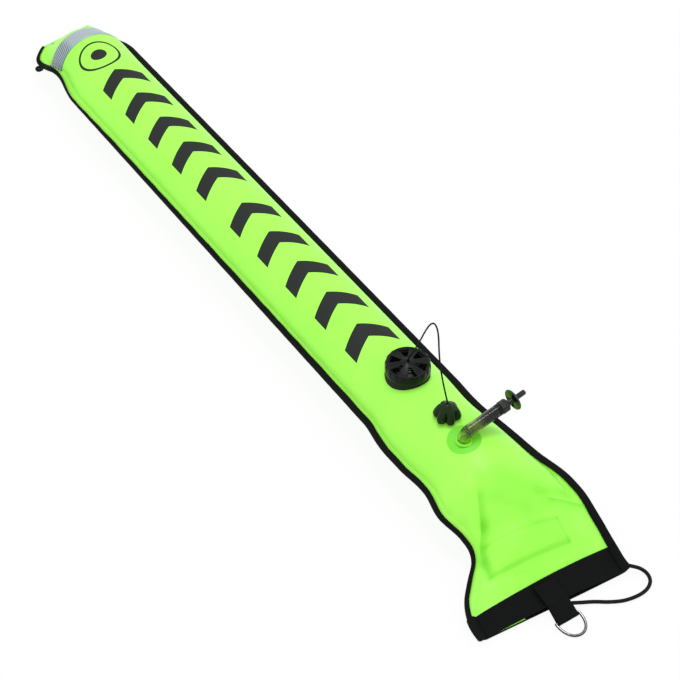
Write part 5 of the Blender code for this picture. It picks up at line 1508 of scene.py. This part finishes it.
# The clear film is coloured the cloth's green: painted show-through of the cloth under it.
weld_look, tree, shader = finish_of("clear_weld_film", (0.24, 0.80, 0.05), 0.3, Specular_IOR_Level=0.3)
uneven(tree, shader, 200.0, 0.2, 0.2)
redress("elbow_weld_ring", weld_look)
redress("valve_weld_ring", weld_look)
bead_profile = [(0.0067, 0.0009), (0.0072, 0.0010), (0.0084, 0.0006), (0.0092, 0.00005)]
bead_profile += [(0.0092, -0.0004), (0.0067, -0.0004)]
bead_place = Matrix.Translation(ELBOW_SPOT - up * (0.010 - CLEAR))
bead = turned_piece("elbow_weld_bead", bead_profile, bead_place, weld_look)
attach(bead, "tube")

START = ELBOW_ARM + CLEAR
SHOULDER_END = START + 0.004
BARREL_END = SHOULDER_END + 0.0105
GROOVE = BARREL_END - 0.004
PLUG_FLOOR = START - 0.0093
# radius, distance along the arm: the barrel's outside, the part in the elbow, and the bore
plug_profile = [
    (0.0033, BARREL_END), (0.0052, BARREL_END), (0.0052, SHOULDER_END), (0.0067, SHOULDER_END),
    (0.0067, START), (0.0047, START), (0.0047, PLUG_FLOOR - 0.002), (0.0022, PLUG_FLOOR - 0.002),
    (0.0022, PLUG_FLOOR), (0.0039, PLUG_FLOOR), (0.0039, GROOVE), (0.0043, GROOVE),
    (0.0043, GROOVE + 0.0018), (0.0033, GROOVE + 0.0018),
]
plug_profile = eased_profile(plug_profile, 0.0004)
plug = turned_piece("inflator_plug", plug_profile, arm_place, valve_look, steps=64)
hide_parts("inflator_body")
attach(plug, "tube")

COLLAR_START = SHOULDER_END + CLEAR
FLUTES = 16
FLUTE_DEPTH = 0.0007
FLUTE_ROUND = 1.5
# radius, distance from the ring's start (mm)
COLLAR_LINE = (
    (5.5, 9.0), (6.4, 9.0), (7.1, 8.7), (7.3, 8.1), (7.3, 6.4), (7.3, 5.8), (6.9, 5.5), (6.9, 4.8),
    (7.3, 4.5), (7.3, 3.9), (7.3, 0.9), (7.1, 0.3), (6.4, 0.0), (5.5, 0.0),
)
collar_profile = [(r / 1000, COLLAR_START + h / 1000) for r, h in COLLAR_LINE]


def flutes(angle, radius, height):
    """Grooves along the ring for the fingers."""
    if radius < 0.007:
        return radius, height
    wave = 0.5 - 0.5 * math.cos(FLUTES * angle)
    return radius - FLUTE_DEPTH * wave**FLUTE_ROUND, height


COLLAR_BLACK = (0.0045, 0.0055, 0.0058)
# the pale colour on the flutes' sharp ridges is a painted highlight
COLLAR_RIDGE_HIGHLIGHT = (0.17, 0.185, 0.195)
collar_look = moulded("collar_plastic", COLLAR_BLACK, COLLAR_RIDGE_HIGHLIGHT, 0.11, edge=0.8, shine=0.32)
collar = turned_piece("fluted_lock_ring", collar_profile, arm_place, collar_look, steps=192, shape=flutes)
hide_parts("lock_collar")
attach(collar, "collar")

NECK_END = BARREL_END + 0.0065
DISC_END = NECK_END + 0.0022
TIP = DISC_END + 0.015
STEP = GROOVE - 0.006
HEAD = ELBOW_ARM - 0.011 - 2 * CLEAR - 0.0016
SPRING_SEAT = PLUG_FLOOR + CLEAR
SPRING_RADIUS = 0.0029
SPRING_WIRE = 0.0003
# radius, distance along the arm: the nozzle, the finger disc, the neck, the stem and its head, and the bore
plunger_profile = [
    (0.0015, TIP), (0.0022, TIP), (0.0027, TIP - 0.0004), (0.0030, TIP - 0.0012),
    (0.0030, DISC_END + 0.0014), (0.0032, DISC_END + 0.0007), (0.0038, DISC_END + 0.0002),
    (0.0046, DISC_END), (0.0112, DISC_END), (0.0119, DISC_END - 0.0002),
    (0.0124, (NECK_END + DISC_END) / 2), (0.0119, NECK_END + 0.0002), (0.0112, NECK_END),
    (0.0040, NECK_END), (0.0032, NECK_END - 0.0004), (0.0030, NECK_END - 0.0010), (0.0030, STEP),
    (0.0019, STEP), (0.0019, HEAD), (0.0032, HEAD), (0.0032, HEAD - 0.0012), (0.0, HEAD - 0.0012),
    (0.0, STEP + 0.003), (0.0015, STEP + 0.003),
]
plunger = turned_piece("push_plunger", plunger_profile, arm_place, collar_look, steps=72)
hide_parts("inflator_plunger")
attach(plunger, "push_valve")
coil = wound(SPRING_RADIUS, SPRING_RADIUS, SPRING_SEAT + SPRING_WIRE, STEP - CLEAR - SPRING_WIRE, 4)
spring = swept("push_spring", [arm_place @ p for p in coil], SPRING_WIRE, shaded_steel_look, sides=8)
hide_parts("inflator_spring")
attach(spring, "tube")
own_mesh(spring)
redress("neck_seal", rubber_look)
redress("inflator_seal", seal_look)

# D ring and its tab
# 25 mm webbing folded round the straight bar of a bright steel ring. Both ends are sewn to the front lip's
# webbing in a box of stitches with a cross in it.
TAB_X = -0.020
TAB_WIDTH = 0.025
TAB_REACH = 0.021
BOX_INSET = 0.0022
BOX_LOW = 0.002
BOX_HIGH = 0.0185
RING_Y = -0.311
RING_WIRE = 0.0015
RING_INNER = 0.026
RING_DEPTH = 0.022
BAR_Z = RING_WIRE + CLEAR + WEBBING
RING_SQUARENESS = 0.8
RING_PAINTED_DARK_REFLECTION = (0.030, 0.031, 0.033)
RING_PAINTED_BRIGHT_REFLECTION = (0.46, 0.46, 0.46)
# the webbing's section: share of its half width, share of its half thickness
TAB_SECTION = (
    (-1, -0.6), (-0.97, -1), (-0.5, -1), (0, -1), (0.5, -1), (0.97, -1), (1, -0.6),
    (1, 0.6), (0.97, 1), (0.5, 1), (0, 1), (-0.5, 1), (-0.97, 1), (-1, 0.6),
)


def cloth_top(x, y):
    """Height of the front cloth's outer face over (x, y)."""
    ys, zs = [], []
    for row in front_rows[:40]:
        across = [p.x for p in row[1:-1]]
        ys.append(np.interp(x, across, [p.y for p in row[1:-1]]))
        zs.append(np.interp(x, across, [p.z for p in row[1:-1]]))
    return float(np.interp(y, ys, zs)) + SKIN


lip_z = cloth_top(TAB_X, MOUTH_Y + 0.001) + CLEAR + WEBBING
rise = 2 * CLEAR + WEBBING / 2
lower = []
for k in range(8):
    y = MOUTH_Y + TAB_REACH * (1 - k / 7)
    lower.append((y, cloth_top(TAB_X, y) + CLEAR + WEBBING + rise))
lower.append((MOUTH_Y - 2 * CLEAR - WEBBING, lip_z + rise - 0.0001))
turn_radius = RING_WIRE + CLEAR + WEBBING / 2
around = []
for k in range(17):
    angle = math.radians(-70 - 220 * k / 16)
    around.append((RING_Y + turn_radius * math.cos(angle), BAR_Z + turn_radius * math.sin(angle)))
gap = WEBBING + CLEAR
upper = [(y, z + gap) for y, z in lower[::-1]]
route = smooth_path([Vector((0, *p)) for p in lower + around + upper], 0.0012)
verts, uvs = [], []
along = 0.0
for k, p in enumerate(route):
    run = (route[min(k + 1, len(route) - 1)] - route[max(k - 1, 0)]).normalized()
    side = Vector((0, -run.z, run.y)) * WEBBING / 2
    along += (p - route[k - 1]).length if k else 0
    middle = Vector((TAB_X, p.y, p.z))
    wide = TAB_WIDTH / 2 - (0.0002 if k in (0, len(route) - 1) else 0)
    for across, up_share in TAB_SECTION:
        verts.append(middle + Vector((across * wide, 0, 0)) + side * up_share)
        uvs.append((across * TAB_WIDTH / 2, along))
faces = ring_faces(len(route), len(TAB_SECTION), ends=True)
tab = new_piece("ring_tab", verts, faces, webbing_look, uvs)
bm = bmesh.new()
bm.from_mesh(tab.data)
bmesh.ops.recalc_face_normals(bm, faces=bm.faces)
bm.to_mesh(tab.data)
bm.free()
tab.data.set_sharp_from_angle(angle=math.radians(50))
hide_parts("d_ring_tab")
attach(tab, "tube")


def on_tab(x, y):
    """A point just above the tab where it lies on the lip."""
    top = route[len(route) // 2 :]
    z = np.interp(-y, [-p.y for p in top][::-1], [p.z for p in top][::-1])
    return Vector((TAB_X + x, y, float(z) + WEBBING / 2 + 0.0001))


low_y, high_y = MOUTH_Y + BOX_LOW, MOUTH_Y + BOX_HIGH
edge = TAB_WIDTH / 2 - BOX_INSET
corners = [(-edge, low_y), (edge, low_y), (edge, high_y), (-edge, high_y)]
legs = [(0, 1), (1, 2), (2, 3), (3, 0), (0, 2), (1, 3)]
lines = []
for a, b in legs:
    (ax, ay), (bx, by) = corners[a], corners[b]
    lines.append([on_tab(ax + (bx - ax) * t / 12, ay + (by - ay) * t / 12) for t in range(13)])
box_stitch = sewn("tab_box_stitch", lines, thread_look, step=0.0027, length=0.0021, thickness=0.0005)
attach(box_stitch, "tube")

chrome_look, tree, shader = finish_of("bright_steel", (0.30, 0.30, 0.30), 0.12, Metallic=1.0)
patches = uneven(tree, shader, 420.0, 0.16, 0.02)
_, _, v = cut_places(tree)
# painted reflection: a bright stripe along the top of the wire and dark stripes down its flanks, broken up by
# patches
wave = sums(tree, "SINE", sums(tree, "MULTIPLY", v, 2 / RING_WIRE))
wave = sums(tree, "MULTIPLY_ADD", patches, 1.2, sums(tree, "SUBTRACT", wave, 1.4))
share = mapped(tree, wave, -0.3, 0.4)
feed(tree, shader, Base_Color=blended(tree, share, RING_PAINTED_DARK_REFLECTION, RING_PAINTED_BRIGHT_REFLECTION))
half_ring = RING_INNER / 2 + RING_WIRE
drop = BAR_Z - RING_WIRE
ring_points = [Vector((half_ring * (k / 8 - 1), 0, 0)) for k in range(1, 16)]
for k in range(41):
    angle = math.pi * k / 40
    depth = RING_DEPTH * math.sin(angle) ** RING_SQUARENESS if 0 < k < 40 else 0.0
    ring_points.append(Vector((half_ring * math.cos(angle), -depth, -drop * depth / RING_DEPTH)))
ring_points = [Vector((TAB_X, RING_Y, BAR_Z)) + p for p in ring_points]
ring = swept("bright_d_ring", ring_points, RING_WIRE, chrome_look, sides=20, cyclic=True)
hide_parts("d_ring")
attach(ring, "ring")

# Weight, its pocket and the mouth's baffle
# A flat weight in a sealed cloth pocket on the inside of the tail, and a flattened sleeve of the same cloth
# behind the lips that closes when the tube is full.
lead_look, tree, shader = finish_of("dull_lead", (0.20, 0.21, 0.22), 0.5, Metallic=0.9)
uneven(tree, shader, 90.0, 0.3, 0.35)
redress("ballast_plate", lead_look)


def dressed_copy(name, node, look, soft):
    """A CAD node's own shape, merged, softened and with UVs in metres, in another finish."""
    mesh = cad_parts[node].data.copy()
    bm = bmesh.new()
    bm.from_mesh(mesh)
    bmesh.ops.remove_doubles(bm, verts=bm.verts, dist=0.00001)
    for layer in list(bm.loops.layers.uv):
        bm.loops.layers.uv.remove(layer)
    cut = bm.loops.layers.uv.new("cut")
    for f in bm.faces:
        for loop in f.loops:
            loop[cut].uv = loop.vert.co.xy
    bm.to_mesh(mesh)
    bm.free()
    mesh.materials.clear()
    mesh.materials.append(look)
    made = softened(placed(name, mesh), soft, 50)
    finished(made, Matrix.Identity(4), 60)
    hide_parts(node)
    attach(made, "tube")
    return made


dressed_copy("weight_pocket", "ballast_pocket", back_look, 0.0003)
dressed_copy("mouth_baffle", "duckbill_baffle", back_look, 0.0001)
